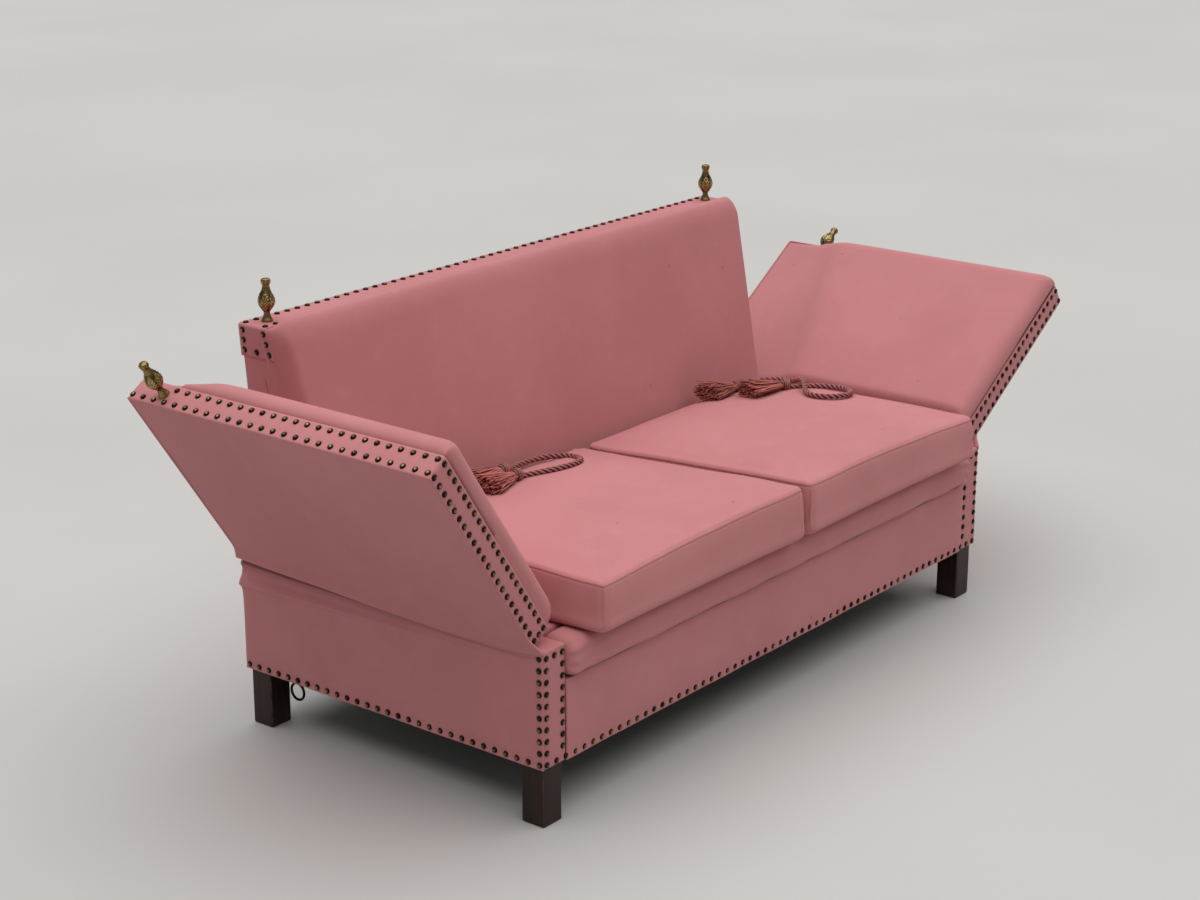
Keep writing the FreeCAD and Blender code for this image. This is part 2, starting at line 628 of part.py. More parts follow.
def ratchet_shape(side):
    """A quarter ring about the hinge axis with notches, and a tab up into the arm."""
    axis_x, axis_z = mm("hinge_x"), mm("hinge_height")
    radius, width, sweep = mm("ratchet_radius"), mm("ratchet_width"), mm("ratchet_sweep")
    near, plate = mm(CATCH[0]), mm("catch_plate")
    head = mm("arm_bottom + ratchet_tab")

    def at(angle, reach):
        turn = math.radians(90 + angle)
        return Vector(side * (axis_x - reach * math.sin(turn)), near, axis_z + reach * math.cos(turn))

    inside = radius - width
    tab = [Vector(side * (axis_x - inside), near, head), Vector(side * (axis_x - radius), near, head)]
    outline = Part.Wire([
        Part.LineSegment(tab[0], tab[1]).toShape(),
        Part.LineSegment(tab[1], at(0, radius)).toShape(),
        Part.Arc(at(0, radius), at(sweep / 2, radius), at(sweep, radius)).toShape(),
        Part.LineSegment(at(sweep, radius), at(sweep, inside)).toShape(),
        Part.Arc(at(sweep, inside), at(sweep / 2, inside), at(0, inside)).toShape(),
        Part.LineSegment(at(0, inside), tab[0]).toShape(),
    ])
    sector = Part.Face(outline).extrude(Vector(0, plate, 0))
    count, depth = int(mm("ratchet_teeth")), mm("notch_depth")
    places = [at(sweep * i / (count + 1), radius) for i in range(1, count + 1)]
    return sector.cut([Part.makeCylinder(depth, plate, place, Vector(0, 1, 0)) for place in places])


def pawl(name, side):
    """A bell crank: a limb up to the sector, a boss on the pivot and a tail over the rod."""
    limb = upright_wedge(name + "_limb", ("pivot_z", "nose_z"),
                         span(side, "pivot_x - pawl_limb / 2", "pivot_x + pawl_limb / 2"),
                         span(side, "nose_x - pawl_limb / 2", "nose_x"), CATCH, CATCH)
    tail = block(name + "_tail", span(side, "rod_x - rod_hole", "pivot_x"), CATCH,
                 ("pivot_z - pawl_limb / 2", "pivot_z + pawl_limb / 2"))
    pivot = (f"{side} * pivot_x", CATCH[0], "pivot_z")
    eye = block(name + "_eye", span(side, "rod_x - rod_hole", "rod_x + rod_hole"),
                ("catch_y - rod_hole", "catch_y + rod_hole"),
                ("pivot_z - pawl_limb / 2", "pivot_z + pawl_limb / 2"))
    boss = rod(name + "_boss", "pawl_boss", "catch_plate", *pivot, along="y")
    bore = rod(name + "_bore", "pivot_diameter + 2 * running_gap", "catch_plate", *pivot, along="y")
    hole = rod(name + "_hole", "rod_hole", "pawl_limb",
               f"{side} * rod_x", "catch_y", "pivot_z - pawl_limb / 2")
    blank = fuse(name + "_blank", [limb, tail, boss, eye])
    return cut(name + "_bored", blank, fuse(name + "_holes", [bore, hole]))


BRACKET = ("catch_y - catch_plate / 2 - side_gap - bracket_plate",
           "catch_y + catch_plate / 2 + side_gap + spring_room + bracket_plate")


def pawl_bracket(name, side):
    """A plate on the rail's inner face with two cheeks and the pivot pin between them."""
    first, last = BRACKET
    plate = block(name + "_plate", span(side, "inside_half - bracket_plate", "inside_half"), (first, last),
                  ("pivot_z - bracket_height / 2", "pivot_z + bracket_height / 2"))
    reach = span(side, "pivot_x - pawl_boss / 2", "inside_half")
    height = ("pivot_z - pawl_boss / 2", "pivot_z + pawl_boss / 2")
    near = block(name + "_near_cheek", reach, (first, f"{first} + bracket_plate"), height)
    far = block(name + "_far_cheek", reach, (f"{last} - bracket_plate", last), height)
    pin = rod(name + "_pin", "pivot_diameter", f"{last} - ({first})",
              f"{side} * pivot_x", first, "pivot_z", along="y")
    return fuse(name, [plate, near, far, pin])


def tube(path, diameter):
    """A round tube along a path of lines and arcs."""
    first = path.OrderedEdges[0]
    start = first.valueAt(first.FirstParameter)
    circle = Part.makeCircle(diameter / 2, start, first.tangentAt(first.FirstParameter))
    return path.makePipeShell([Part.Wire(circle)], True, False)


def spring_shape(side):
    """A close coil of square wire on the pivot pin, beside the pawl, in arcs of a quarter turn."""
    wire, turns = mm("spring_wire"), int(mm("spring_turns"))
    radius = mm("pivot_diameter / 2 + side_gap + spring_wire / 2")
    start = mm("catch_y + catch_plate / 2 + 2 * side_gap + spring_wire / 2")
    pitch = mm("spring_room - 2 * side_gap - spring_wire") / turns

    def at(eighth):
        turn = math.radians(45 * eighth)
        return Vector(side * mm("pivot_x") + radius * math.cos(turn), start + pitch * eighth / 8,
                      mm("pivot_z") + radius * math.sin(turn))

    arcs = [Part.Arc(at(i), at(i + 1), at(i + 2)).toShape() for i in range(0, 8 * turns, 2)]
    corners = [at(0) + Vector(out, along, 0) * wire / 2 for out, along in ((-1, -1), (1, -1), (1, 1), (-1, 1))]
    section = Part.makePolygon(corners + corners[:1])
    return Part.Wire(arcs).makePipeShell([section], True, False)


def pull_ring(name, side):
    """A rod with a collar on the pawl's tail and a ring below the covers."""
    x, y, collar = f"{side} * rod_x", "catch_y", "pivot_z + pawl_limb / 2 + side_gap"
    stem = rod(name + "_stem", "rod_diameter", f"{collar} + collar_height - rod_end", x, y, "rod_end")
    head = rod(name + "_collar", "rod_collar", "collar_height", x, y, collar)
    ring = doc.addObject("Part::Torus", name + "_loop")
    reach = "(ring_diameter - ring_wire) / 2"
    bind(ring, Radius1=reach, Radius2="ring_wire / 2")
    bind(ring, Placement=f"placement(vector({x}; {y}; rod_end - {reach}); rotation(vector(0; 1; 0); 90))")
    return fuse(name + "_wrought", [stem, head, ring])


node("pawl_brackets", [pawl_bracket(name + "_pawl_bracket", side) for side, name in SIDES])
node("pawl_springs", [made(name + "_pawl_spring", spring_shape(side)) for side, name in SIDES])
for side, name in SIDES:
    node(name + "_pawl", pawl(name + "_pawl_crank", side))
    node(name + "_pull_ring", pull_ring(name + "_pull", side))

# Finials and nails: turned brass, and domes in rows

def finial_shape():
    """A turned profile: foot, waist, bulb, neck and head."""
    height = mm("finial_height")
    foot, waist, bulb = mm("finial_foot / 2"), mm("finial_waist / 2"), mm("finial_bulb / 2")
    neck, head = mm("finial_neck / 2"), mm("finial_head / 2")
    rim, low, middle, high, cap = (height * share for share in (0.04, 0.16, 0.46, 0.75, 0.89))

    def at(radius, z):
        return Vector(radius, 0, z)

    outline = Part.Wire([
        Part.LineSegment(at(0, 0), at(foot, 0)).toShape(),
        Part.LineSegment(at(foot, 0), at(foot, rim)).toShape(),
        Part.Arc(at(foot, rim), at((foot + 2 * waist) / 3, (rim + low) / 2), at(waist, low)).toShape(),
        Part.Arc(at(waist, low), at(bulb, middle), at(neck, high)).toShape(),
        Part.Arc(at(neck, high), at(head, cap), at(head / 3, height)).toShape(),
        Part.LineSegment(at(head / 3, height), at(0, height)).toShape(),
        Part.LineSegment(at(0, height), at(0, 0)).toShape(),
    ])
    return Part.Face(outline).revolve(Vector(), Vector(0, 0, 1), 360)


def finial(name, x, y, z):
    turning = made(name, finial_shape())
    return bind(turning, Placement__Base__x=x, Placement__Base__y=y, Placement__Base__z=z)


NAIL_FOOT, NAIL_RISE = mm("nail_diameter / 2"), mm("nail_rise")
NAIL_BALL = (NAIL_FOOT ** 2 + NAIL_RISE ** 2) / (2 * NAIL_RISE)
NAIL_LATITUDE = math.degrees(math.asin((NAIL_BALL - NAIL_RISE) / NAIL_BALL))
EDGE = mm("nail_edge")
FORWARD, UP = Vector(0, -1, 0), Vector(0, 0, 1)


def nail(x, y, z, way):
    """The dome of one nail on a face that looks along way."""
    centre = Vector(x, y, z) - way * (NAIL_BALL - NAIL_RISE)
    return Part.makeSphere(NAIL_BALL, centre, way, NAIL_LATITUDE, 90, 360)


def evenly(start, end, pitch):
    """Places from start to end, as near to the pitch as they divide."""
    count = max(1, round((end - start) / mm(pitch)))
    return [start + (end - start) * i / count for i in range(count + 1)]


def base_nails():
    """The lower edge of the front and sides, and round the faces of the two posts."""
    half, front, rear = mm("half"), mm("front"), mm("rear")
    low, top = mm("leg_height") + EDGE, mm("rail_top - post_round") - EDGE / 2
    domes = [nail(x, front, low, FORWARD) for x in evenly(EDGE - half, half - EDGE, "base_nail_pitch")]
    column = evenly(low, top, "post_nail_pitch")[1:]
    row = evenly(front + EDGE, rear - EDGE, "base_nail_pitch")
    for side in (LEFT, RIGHT):
        out = Vector(side, 0, 0)
        domes += [nail(side * half, y, low, out) for y in row]
        domes += [nail(side * half, front + EDGE, z, out) for z in column]
        for x in (half - EDGE, mm("post_inner") + EDGE):
            domes += [nail(side * x, front, z, FORWARD) for z in column]
        domes.append(nail(side * mm("half - post_width / 2"), front, top, FORWARD))
    return Part.Compound(domes)


def back_nails():
    """Two rows along the top strip, and a patch of seven on each side under its ends."""
    reach, top = mm("back_length_top / 2") - EDGE, mm("back_top")
    domes = []
    for y in (mm("back_front_top") + EDGE, mm("back_rear_top") - EDGE):
        domes += [nail(x, y, top, UP) for x in evenly(-reach, reach, "arm_nail_pitch")]
    for side in (LEFT, RIGHT):
        out = Vector(side, 0, -mm("side_lean")).normalize()
        for step in range(3):
            z = top - EDGE - step * mm("cap_nail_pitch") - NAIL_FOOT / 2
            x, near, far = side * mm(back_half(z)), mm(back_front(z)) + EDGE, mm(back_rear(z)) - EDGE
            domes += [nail(x, near, z, out), nail(x, far, z, out)]
        domes.append(nail(x, (near + far) / 2, z, out))
    return Part.Compound(domes)


def arm_nails(side):
    """Two rows along the top of an upright arm and down its front, closed by a third nail below."""
    outer, inner = side * (mm("half") - EDGE), side * (mm("arm_inner - cover") + EDGE)
    front, rear, top = mm("arm_front"), mm("rear"), mm("arm_top")
    stop = rear - mm("arm_finial_inset + finial_foot / 2") - EDGE
    domes = [nail(outer, y, top, UP) for y in evenly(front + EDGE, rear - EDGE, "arm_nail_pitch")]
    domes += [nail(inner, y, top, UP) for y in evenly(front + EDGE, stop, "arm_nail_pitch")]
    column = evenly(mm("arm_bottom") + EDGE, top - EDGE, "front_nail_pitch")
    for x in (outer, inner):
        domes += [nail(x, front, z, FORWARD) for z in column]
    domes.append(nail((outer + inner) / 2, front, column[0], FORWARD))
    return Part.Compound(domes)


for side, name in SIDES:
    place = (f"{side} * (back_length_top / 2 - back_finial_inset)",
             "(back_front_top + back_rear_top) / 2", "back_top")
    node(name + "_back_finial", finial(name + "_back_turning", *place))
node("base_nails", made("base_domes", base_nails()))
node("back_nails", made("back_domes", back_nails()))

# Arms: a timber frame, padded inside, covered outside, with a nailed strip round its front, top and rear

def arm_pad_shape(side):
    """Slices up the arm's inside: thick in front of the back, thin beside it, eased at both ends."""
    wall, thin, thick = mm("arm_inner"), mm("cover"), mm("arm_pad")
    near, far = mm("arm_front + 2 * cover"), mm("rear - cover")
    low, high, edge = mm("arm_bottom"), mm("arm_top - cover"), mm("arm_pad_round")
    bevel, crown = mm("arm_pad_bevel"), mm("arm_pad_crown")
    sections = []
    for z, inset in eased(low, high, edge):
        face = wall - thick + inset
        turn = mm(back_front(z)) - mm("back_reach + arm_pad_clear")
        plan = [(wall, near), (wall, far), (wall - thin, far),
                (wall - thin, turn + bevel), (face, turn), (face, near)]
        corners = [Vector(side * x, y, z) for x, y in plan]
        sections.append(soft_section(corners, (0, 0, 0, 0, crown, crown)))
    return soft_loft(sections)


for side, name in SIDES:
    timber, ends = span(side, "arm_inner", "frame_half"), ("arm_front + cover", "rear - cover")
    middle = "(arm_front + rear) / 2"
    lower = ("arm_bottom", "arm_bottom + arm_rail")
    upper = ("arm_top - cover - arm_rail", "arm_top - cover")
    mortise = block(name + "_mortise",
                    span(side, "hinge_x - ratchet_radius", "hinge_x - ratchet_radius + ratchet_width"),
                    CATCH, ("arm_bottom", "arm_bottom + ratchet_tab"))
    stile_places = {
        "front": (ends[0], f"{ends[0]} + arm_rail"),
        "middle": (f"{middle} - arm_rail / 2", f"{middle} + arm_rail / 2"),
        "rear": (f"{ends[1]} - arm_rail", ends[1]),
    }
    frame = [cut(name + "_arm_foot", block(name + "_arm_foot_timber", timber, ends, lower), mortise),
             block(name + "_arm_head", timber, ends, upper)]
    frame += [block(f"{name}_arm_{which}_stile", timber, place, (lower[1], upper[0]))
              for which, place in stile_places.items()]
    strip = cut(name + "_arm_strip",
                block(name + "_strip_outline", span(side, "arm_inner - cover", "half"),
                      ("arm_front", "rear"), ("arm_bottom", "arm_top")),
                block(name + "_strip_hollow", span(side, "arm_inner - 2 * cover", "half + cover"),
                      ends, ("arm_bottom - cover", "arm_top - cover")))
    panel = block(name + "_arm_cloth", span(side, "frame_half", "half"), ends,
                  ("arm_bottom", "arm_top - cover"))
    knob = finial(name + "_arm_turning",
                  f"{side} * (arm_inner - cover + half) / 2", "rear - arm_finial_inset", "arm_top")
    arm_node(side, name + "_arm_frame", frame)
    arm_node(side, name + "_arm_pad", made(name + "_arm_padding", arm_pad_shape(side)))
    arm_node(side, name + "_arm_outer_cover", panel)
    arm_node(side, name + "_arm_border", strip)
    arm_node(side, name + "_arm_nails", made(name + "_arm_domes", arm_nails(side)))
    arm_node(side, name + "_arm_finial", knob)
    arm_node(side, name + "_arm_hinge_leaves", arm_leaves[side])
    arm_node(side, name + "_arm_ratchet", made(name + "_ratchet_sector", ratchet_shape(side)))

# Ropes: twisted cords that lie loose on the cushions, with a knotted tassel at each end

LEFT_ROUTE = (
    (-286, 58, 438.8), (-258, 48, 440), (-226, 28, 443.1), (-188, 17, 443.9), (-150, 18, 442.2),
    (-120, 40, 437.8), (-108, 75, 432.5), (-119, 110, 427.6), (-150, 131, 424.6), (-190, 135, 424.3),
    (-228, 128, 425.9), (-256, 118, 427.6),
)
RIGHT_ROUTE = (
    (522, -6, 441.3), (548, -22, 440.5), (574, -47, 440.1), (588, -83, 441.1), (580, -122, 444.2),
    (551, -150, 448.7), (513, -158, 452.9), (480, -139, 454.5), (472, -102, 452.7), (494, -70, 449.4),
    (526, -46, 459.1), (566, -12, 452.8), (592, 24, 433.1), (594, 65, 429.6), (570, 98, 427.4),
    (531, 111, 427), (496, 102, 429.2), (478, 92, 431),
)


def cord_path(points):
    """Straight runs joined by tangent arcs, each as large as its two runs allow, and the arcs' radii."""
    edges, radii, start = [], [], points[0]
    for before, corner, after in zip(points, points[1:], points[2:]):
        way_in, way_out = (corner - before).normalize(), (after - corner).normalize()
        setback = 0.45 * min(corner.distanceToPoint(before), corner.distanceToPoint(after))
        turn = way_in.getAngle(way_out)
        radius = setback / math.tan(turn / 2)
        bisector = (way_out - way_in).normalize()
        middle = corner + bisector * (radius / math.cos(turn / 2) - radius)
        enter, leave = corner - way_in * setback, corner + way_out * setback
        edges.append(Part.LineSegment(start, enter).toShape())
        edges.append(Part.Arc(enter, middle, leave).toShape())
        radii.append(radius)
        start = leave
    edges.append(Part.LineSegment(start, points[-1]).toShape())
    return Part.Wire(edges), radii


def tassel_shape(head, way):
    """A wound knot at head and a skirt that spreads along way to where it rests on the seat."""
    knot, length = mm("knot_diameter"), mm("tassel_length")
    across, upward = Vector(-way.y, way.x, 0).normalize(), Vector(0, 0, 1)
    sections = []
    for share in (0, 0.3, 0.7, 1):
        middle = head + way * (knot / 3 + length * share)
        width = knot / 2 + (mm("tassel_width") - knot / 2) * share
        height = knot / 2 + (mm("tassel_height") - knot / 2) * share
        corners = [middle + across * width * right / 2 + upward * height * up / 2
                   for right, up in ((-1, -1), (1, -1), (1, 1), (-1, 1))]
        sections.append(soft_section(corners, (0, 2, 2, 2)))
    ball = Part.makeSphere(knot / 2, head)
    return ball.fuse(soft_loft(sections)), ball


ROPES = (
    ("left", LEFT_ROUTE, ((Vector(-296, 54, 446.2), Vector(-1, -0.05, 0.044)),
                          (Vector(-266, 114, 435.7), Vector(-1, -0.03, 0.054)))),
    ("right", RIGHT_ROUTE, ((Vector(514, -2, 448.8), Vector(-0.93, 0.3, 0.04)),
                            (Vector(469, 88, 439.1), Vector(-0.97, 0.1, 0.04)))),
)
for name, route, heads in ROPES:
    path, radii = cord_path([Vector(*point) for point in route])
    rope = tube(path, mm("rope_diameter"))
    section = math.pi * mm("rope_diameter / 2") ** 2
    print(f"{name} rope: {path.Length:.0f} mm, least radius {min(radii):.1f} mm,",
          f"volume against section by length {rope.Volume / section / path.Length:.4f}")
    tassels = [tassel_shape(head, way.normalize()) for head, way in heads]
    node(name + "_rope", made(name + "_cord", rope.cut([ball for tassel, ball in tassels])))
    node(name + "_tassels", [made(f"{name}_tassel_{number}", tassel)
                             for number, (tassel, ball) in enumerate(tassels, 1)])

# Checks, then one file for each sub-part

doc.recompute()
for obj in doc.Objects:
    if "Invalid" in obj.State or "Error" in obj.State:
        raise RuntimeError(f"{obj.Label} failed to recompute: {obj.State}")
for obj in NODES:
    if obj.Shape.isNull() or not obj.Shape.isValid() or not obj.Shape.Solids:
        raise RuntimeError(f"{obj.Label} has no valid solid")
os.makedirs("parts", exist_ok=True)
for obj in NODES:
    solids = obj.Shape.Solids
    shape = solids[0] if len(solids) == 1 else Part.Compound(solids)
    shape.exportStep(f"parts/{obj.Label}.step")
print(len(NODES), "sub-parts")
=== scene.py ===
import math

import bmesh
import bpy
import numpy as np
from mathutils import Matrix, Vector


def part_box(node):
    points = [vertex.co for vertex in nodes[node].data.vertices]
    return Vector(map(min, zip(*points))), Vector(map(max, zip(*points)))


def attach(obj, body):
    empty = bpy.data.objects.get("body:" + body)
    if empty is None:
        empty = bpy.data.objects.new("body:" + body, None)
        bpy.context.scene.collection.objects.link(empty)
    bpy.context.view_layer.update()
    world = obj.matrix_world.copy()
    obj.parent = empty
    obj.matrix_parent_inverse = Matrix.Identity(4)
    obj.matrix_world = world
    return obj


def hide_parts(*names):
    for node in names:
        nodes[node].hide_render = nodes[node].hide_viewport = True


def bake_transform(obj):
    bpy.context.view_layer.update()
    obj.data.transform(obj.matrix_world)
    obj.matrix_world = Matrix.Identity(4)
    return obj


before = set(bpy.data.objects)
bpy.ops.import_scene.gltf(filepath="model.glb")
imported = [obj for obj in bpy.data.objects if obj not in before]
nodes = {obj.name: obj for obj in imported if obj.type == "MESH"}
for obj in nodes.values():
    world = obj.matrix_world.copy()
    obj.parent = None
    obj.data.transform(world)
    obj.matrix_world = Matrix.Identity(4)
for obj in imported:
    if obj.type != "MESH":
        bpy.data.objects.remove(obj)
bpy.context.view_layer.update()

# Studio: a plain pale floor, an even soft sky and one broad light overhead. The camera stands at head height
# off the sofa's left front corner, with a short telephoto lens.

camera_place = Vector((-3.5593, -2.7493, 1.8870))
camera_yaw = math.radians(51.4315)
camera_pitch = math.radians(17.934)
camera_lens, camera_sensor = 71.92, 36
pale_floor, floor_shade, floor_half = (0.525, 0.513, 0.495, 1), 0.97, 40
sky_colour, sky_light, sky_seen = (0.98, 0.985, 1.0, 1), 0.21, 0.58
sun_light = 3.05
sun_spread = math.radians(95)
sun_way = Vector((-0.06, 0.03, -1))


def shown(name, data):
    """A new object at the origin, linked into the scene."""
    obj = bpy.data.objects.new(name, data)
    bpy.context.scene.collection.objects.link(obj)
    return obj


gaze = Vector((math.sin(camera_yaw) * math.cos(camera_pitch),
               math.cos(camera_yaw) * math.cos(camera_pitch), -math.sin(camera_pitch)))
camera = shown("camera", bpy.data.cameras.new("camera"))
camera.data.lens = camera_lens
camera.data.sensor_width = camera_sensor
camera.data.sensor_fit = "HORIZONTAL"
camera.location = camera_place
camera.rotation_euler = gaze.to_track_quat("-Z", "Y").to_euler()
bpy.context.scene.camera = camera
bpy.context.scene.view_settings.view_transform = "Standard"


class Look:
    """The shader nodes of one material, or of the sky."""

    def __init__(self, owner, shader, **sockets):
        """Start from the owner's shader, with the sockets that are the same all over."""
        owner.use_nodes = True
        self.owner, self.tree = owner, owner.node_tree
        self.shader = self.tree.nodes[shader]
        for socket, value in sockets.items():
            self.shader.inputs[socket.replace("_", " ")].default_value = value

    def add(self, kind, settings=(), **inputs):
        """One node with its settings and inputs. n0, n1 and so on count inputs that share a name."""
        node = self.tree.nodes.new("ShaderNode" + kind)
        for setting, value in dict(settings).items():
            setattr(node, setting, value)
        for name, value in inputs.items():
            counted = name[0] == "n" and name[1:].isdigit()
            socket = node.inputs[int(name[1:]) if counted else name.replace("_", " ")]
            if isinstance(value, bpy.types.NodeSocket):
                self.tree.links.new(value, socket)
            else:
                socket.default_value = value
        return node

    def mixed(self, share, first, second):
        """Two colours mixed by a share."""
        return self.add("Mix", {"data_type": "RGBA"}, n0=share, n6=first, n7=second).outputs[2]

    def reckon(self, operation, first, second=0.0):
        """One sum on two numbers."""
        return self.add("Math", {"operation": operation}, n0=first, n1=second).outputs[0]

    def ramp(self, value, low, high, to_low=0.0, to_high=1.0):
        """A value carried smoothly from one range to another."""
        return self.add("MapRange", {"interpolation_type": "SMOOTHSTEP"}, Value=value, From_Min=low,
                        From_Max=high, To_Min=to_low, To_Max=to_high).outputs[0]

    def place(self):
        """Where each point lies, in the frame of the whole part."""
        return self.add("TexCoord").outputs["Object"]

    def flat(self):
        """Where each point lies on the flat map of its piece."""
        return self.add("UVMap", {"uv_map": "UVMap"}).outputs[0]

    def marked(self, name):
        """A number that the mesh carries on its points."""
        return self.add("Attribute", {"attribute_name": name}).outputs["Fac"]

    def noise(self, place, scale, detail=3.0, roughness=0.5):
        """Cloudy unevenness from 0 to 1."""
        return self.add("TexNoise", Vector=place, Scale=scale, Detail=detail, Roughness=roughness).outputs[0]

    def bands(self, way, place, scale, distortion=0.0):
        """Soft stripes across one way."""
        return self.add("TexWave", {"bands_direction": way}, Vector=place, Scale=scale,
                        Distortion=distortion).outputs[1]

    def done(self, relief=None, **sockets):
        """What the look belongs to, its shader fed by nodes. A relief is a height, a strength and a depth."""
        if relief:
            height, strength, depth = relief
            sockets["Normal"] = self.add("Bump", Height=height, Strength=strength, Distance=depth).outputs[0]
        for socket, value in sockets.items():
            self.tree.links.new(value, self.shader.inputs[socket.replace("_", " ")])
        return self.owner


def new_look(name, **sockets):
    """The look of a new material."""
    return Look(bpy.data.materials.new(name), "Principled BSDF", **sockets)


floor_look = new_look("pale_floor", Roughness=0.75)
darker_floor = tuple(floor_shade * c for c in pale_floor)
cloudy = floor_look.ramp(floor_look.noise(floor_look.place(), 0.7), 0.35, 0.65)
floor_colour = floor_look.mixed(cloudy, pale_floor, darker_floor)
floor_mesh = bpy.data.meshes.new("floor")
floor_corners = [(x * floor_half, y * floor_half, 0) for x, y in ((-1, -1), (1, -1), (1, 1), (-1, 1))]
floor_mesh.from_pydata(floor_corners, [], [(0, 1, 2, 3)])
floor_mesh.materials.append(floor_look.done(Base_Color=floor_colour))
shown("floor", floor_mesh)

sky = Look(bpy.data.worlds.new("sky"), "Background", Color=sky_colour)
seen = sky.add("LightPath").outputs["Is Camera Ray"]
strength = sky.add("Mix", {"data_type": "FLOAT"}, n0=seen, n2=sky_light, n3=sky_seen)
bpy.context.scene.world = sky.done(Strength=strength.outputs[0])

sun = shown("soft_overhead_light", bpy.data.lights.new("soft_overhead_light", "SUN"))
sun.data.energy = sun_light
sun.data.angle = sun_spread
sun.rotation_euler = sun_way.to_track_quat("-Z", "Y").to_euler()

# Frame timber, straps, lining and catches: raw beech boards glued and screwed into a box, jute straps tacked
# across it, a black cotton dust cover tacked below, and steel hinges and catches. Mostly hidden.


def frame_timber():
    look = new_look("frame_timber", Roughness=0.62)
    stretched = look.add("Mapping", Vector=look.place(), Scale=(3.0, 3.0, 40.0)).outputs[0]
    grain = look.noise(stretched, 2.2, 6.0, 0.6)
    colour = look.mixed(look.ramp(grain, 0.3, 0.7), (0.40, 0.25, 0.14, 1), (0.56, 0.38, 0.22, 1))
    return look.done(Base_Color=colour, relief=(grain, 0.25, 0.0006))


def woven_strap():
    look = new_look("jute_webbing", Roughness=0.9)
    place = look.place()
    weave = look.reckon("MULTIPLY", *(look.bands(way, place, 90.0) for way in "XY"))
    colour = look.mixed(weave, (0.22, 0.14, 0.07, 1), (0.42, 0.30, 0.17, 1))
    return look.done(Base_Color=colour, relief=(weave, 0.5, 0.001))


def black_lining():
    look = new_look("black_lining", Roughness=0.95)
    fluff = look.noise(look.place(), 500.0, 2.0)
    colour = look.mixed(fluff, (0.008, 0.008, 0.009, 1), (0.03, 0.03, 0.032, 1))
    return look.done(Base_Color=colour, relief=(fluff, 0.4, 0.0005))


def bare_metal(name, dark, bright, roughness):
    """Metal with blotches of dulled finish and fine scratches."""
    look = new_look(name, Metallic=1.0)
    place = look.place()
    blotch = look.noise(place, 120.0, 5.0)
    return look.done(Base_Color=look.mixed(look.ramp(blotch, 0.35, 0.65), dark, bright),
                     Roughness=look.ramp(blotch, 0.3, 0.7, roughness + 0.15, roughness),
                     relief=(look.noise(place, 1600.0, 2.0), 0.15, 0.0003))


SIDES = ((-1, "left"), (1, "right"))
inner_finishes = {
    frame_timber(): ["corner_blocks", "front_rail", "back_rail", "centre_rail", "left_side_rail",
                     "right_side_rail", "back_stiles", "back_top_rail", "back_lower_rail", "left_arm_frame",
                     "right_arm_frame"],
    woven_strap(): ["seat_webbing", "back_webbing"],
    black_lining(): ["dust_cover"],
    bare_metal("plain_steel", (0.28, 0.28, 0.28, 1), (0.55, 0.55, 0.55, 1), 0.3): [
        "leg_bolts", "base_hinge_leaves", "pawl_brackets", "pawl_springs", "left_pawl", "right_pawl",
        "left_arm_hinge_leaves", "right_arm_hinge_leaves", "left_arm_ratchet", "right_arm_ratchet"],
    bare_metal("black_iron", (0.012, 0.012, 0.013, 1), (0.05, 0.048, 0.046, 1), 0.42): [
        "left_pull_ring", "right_pull_ring"],
}
for finish, names in inner_finishes.items():
    for name in names:
        nodes[name].data.materials.clear()
        nodes[name].data.materials.append(finish)

# Legs: four square beech legs stained almost black and lacquered, their edges softened and rubbed back to
# brown by use. Each screws up into the base on a hanger bolt.


def unit(vectors):
    """Vectors brought to a length of 1."""
    return vectors / np.maximum(np.linalg.norm(vectors, axis=-1, keepdims=True), 1e-12)


def round_turns(sides):
    """Even turns round a circle, one for each side."""
    return np.linspace(0, 2 * math.pi, sides, endpoint=False)


def close_lines(low, high, edge, step):
    """Places from low to high, close together within edge of both ends."""
    ease = [edge * (1 - math.cos(math.radians(angle))) for angle in range(0, 90, 10)]
    count = max(2, round((high - low - 2 * edge) / step) + 1)
    middle = list(np.linspace(low + edge, high - edge, count))
    return np.array([low + e for e in ease] + middle + [high - e for e in reversed(ease)])


def block_lattice(lines):
    """The skin of a block on three sets of lines: its points and its quads, facing outwards."""
    last = [len(line) - 1 for line in lines]
    index, points, faces = {}, [], []

    def at(cell):
        if cell not in index:
            index[cell] = len(points)
            points.append([line[i] for line, i in zip(lines, cell)])
        return index[cell]

    for axis in range(3):
        across, along = (axis + 1) % 3, (axis + 2) % 3
        for end in (0, last[axis]):
            for i in range(last[across]):
                for j in range(last[along]):
                    quad = []
                    for di, dj in ((0, 0), (1, 0), (1, 1), (0, 1)):
                        cell = [0, 0, 0]
                        cell[axis], cell[across], cell[along] = end, i + di, j + dj
                        quad.append(at(tuple(cell)))
                    faces.append(quad if end else quad[::-1])
    return np.array(points), faces


def rounded_block(low, high, edge, step):
    """The skin of a block with rounded edges."""
    points, faces = block_lattice([close_lines(a, b, edge, step) for a, b in zip(low, high)])
    core = np.clip(points, np.array(low) + edge, np.array(high) - edge)
    return core + unit(points - core) * edge, faces


def ripple(points, wavelength, seed):
    """Gentle unevenness of about -1 to 1 over a wavelength, the same on each run."""
    chance = np.random.default_rng(seed)
    total = np.zeros(points.shape[:-1])
    for _ in range(7):
        way = chance.normal(size=3)
        turns = 2 * math.pi / wavelength * chance.uniform(0.6, 1.5) / np.linalg.norm(way)
        total += np.sin(points @ way * turns + chance.uniform(0, 2 * math.pi))
    return total / 4


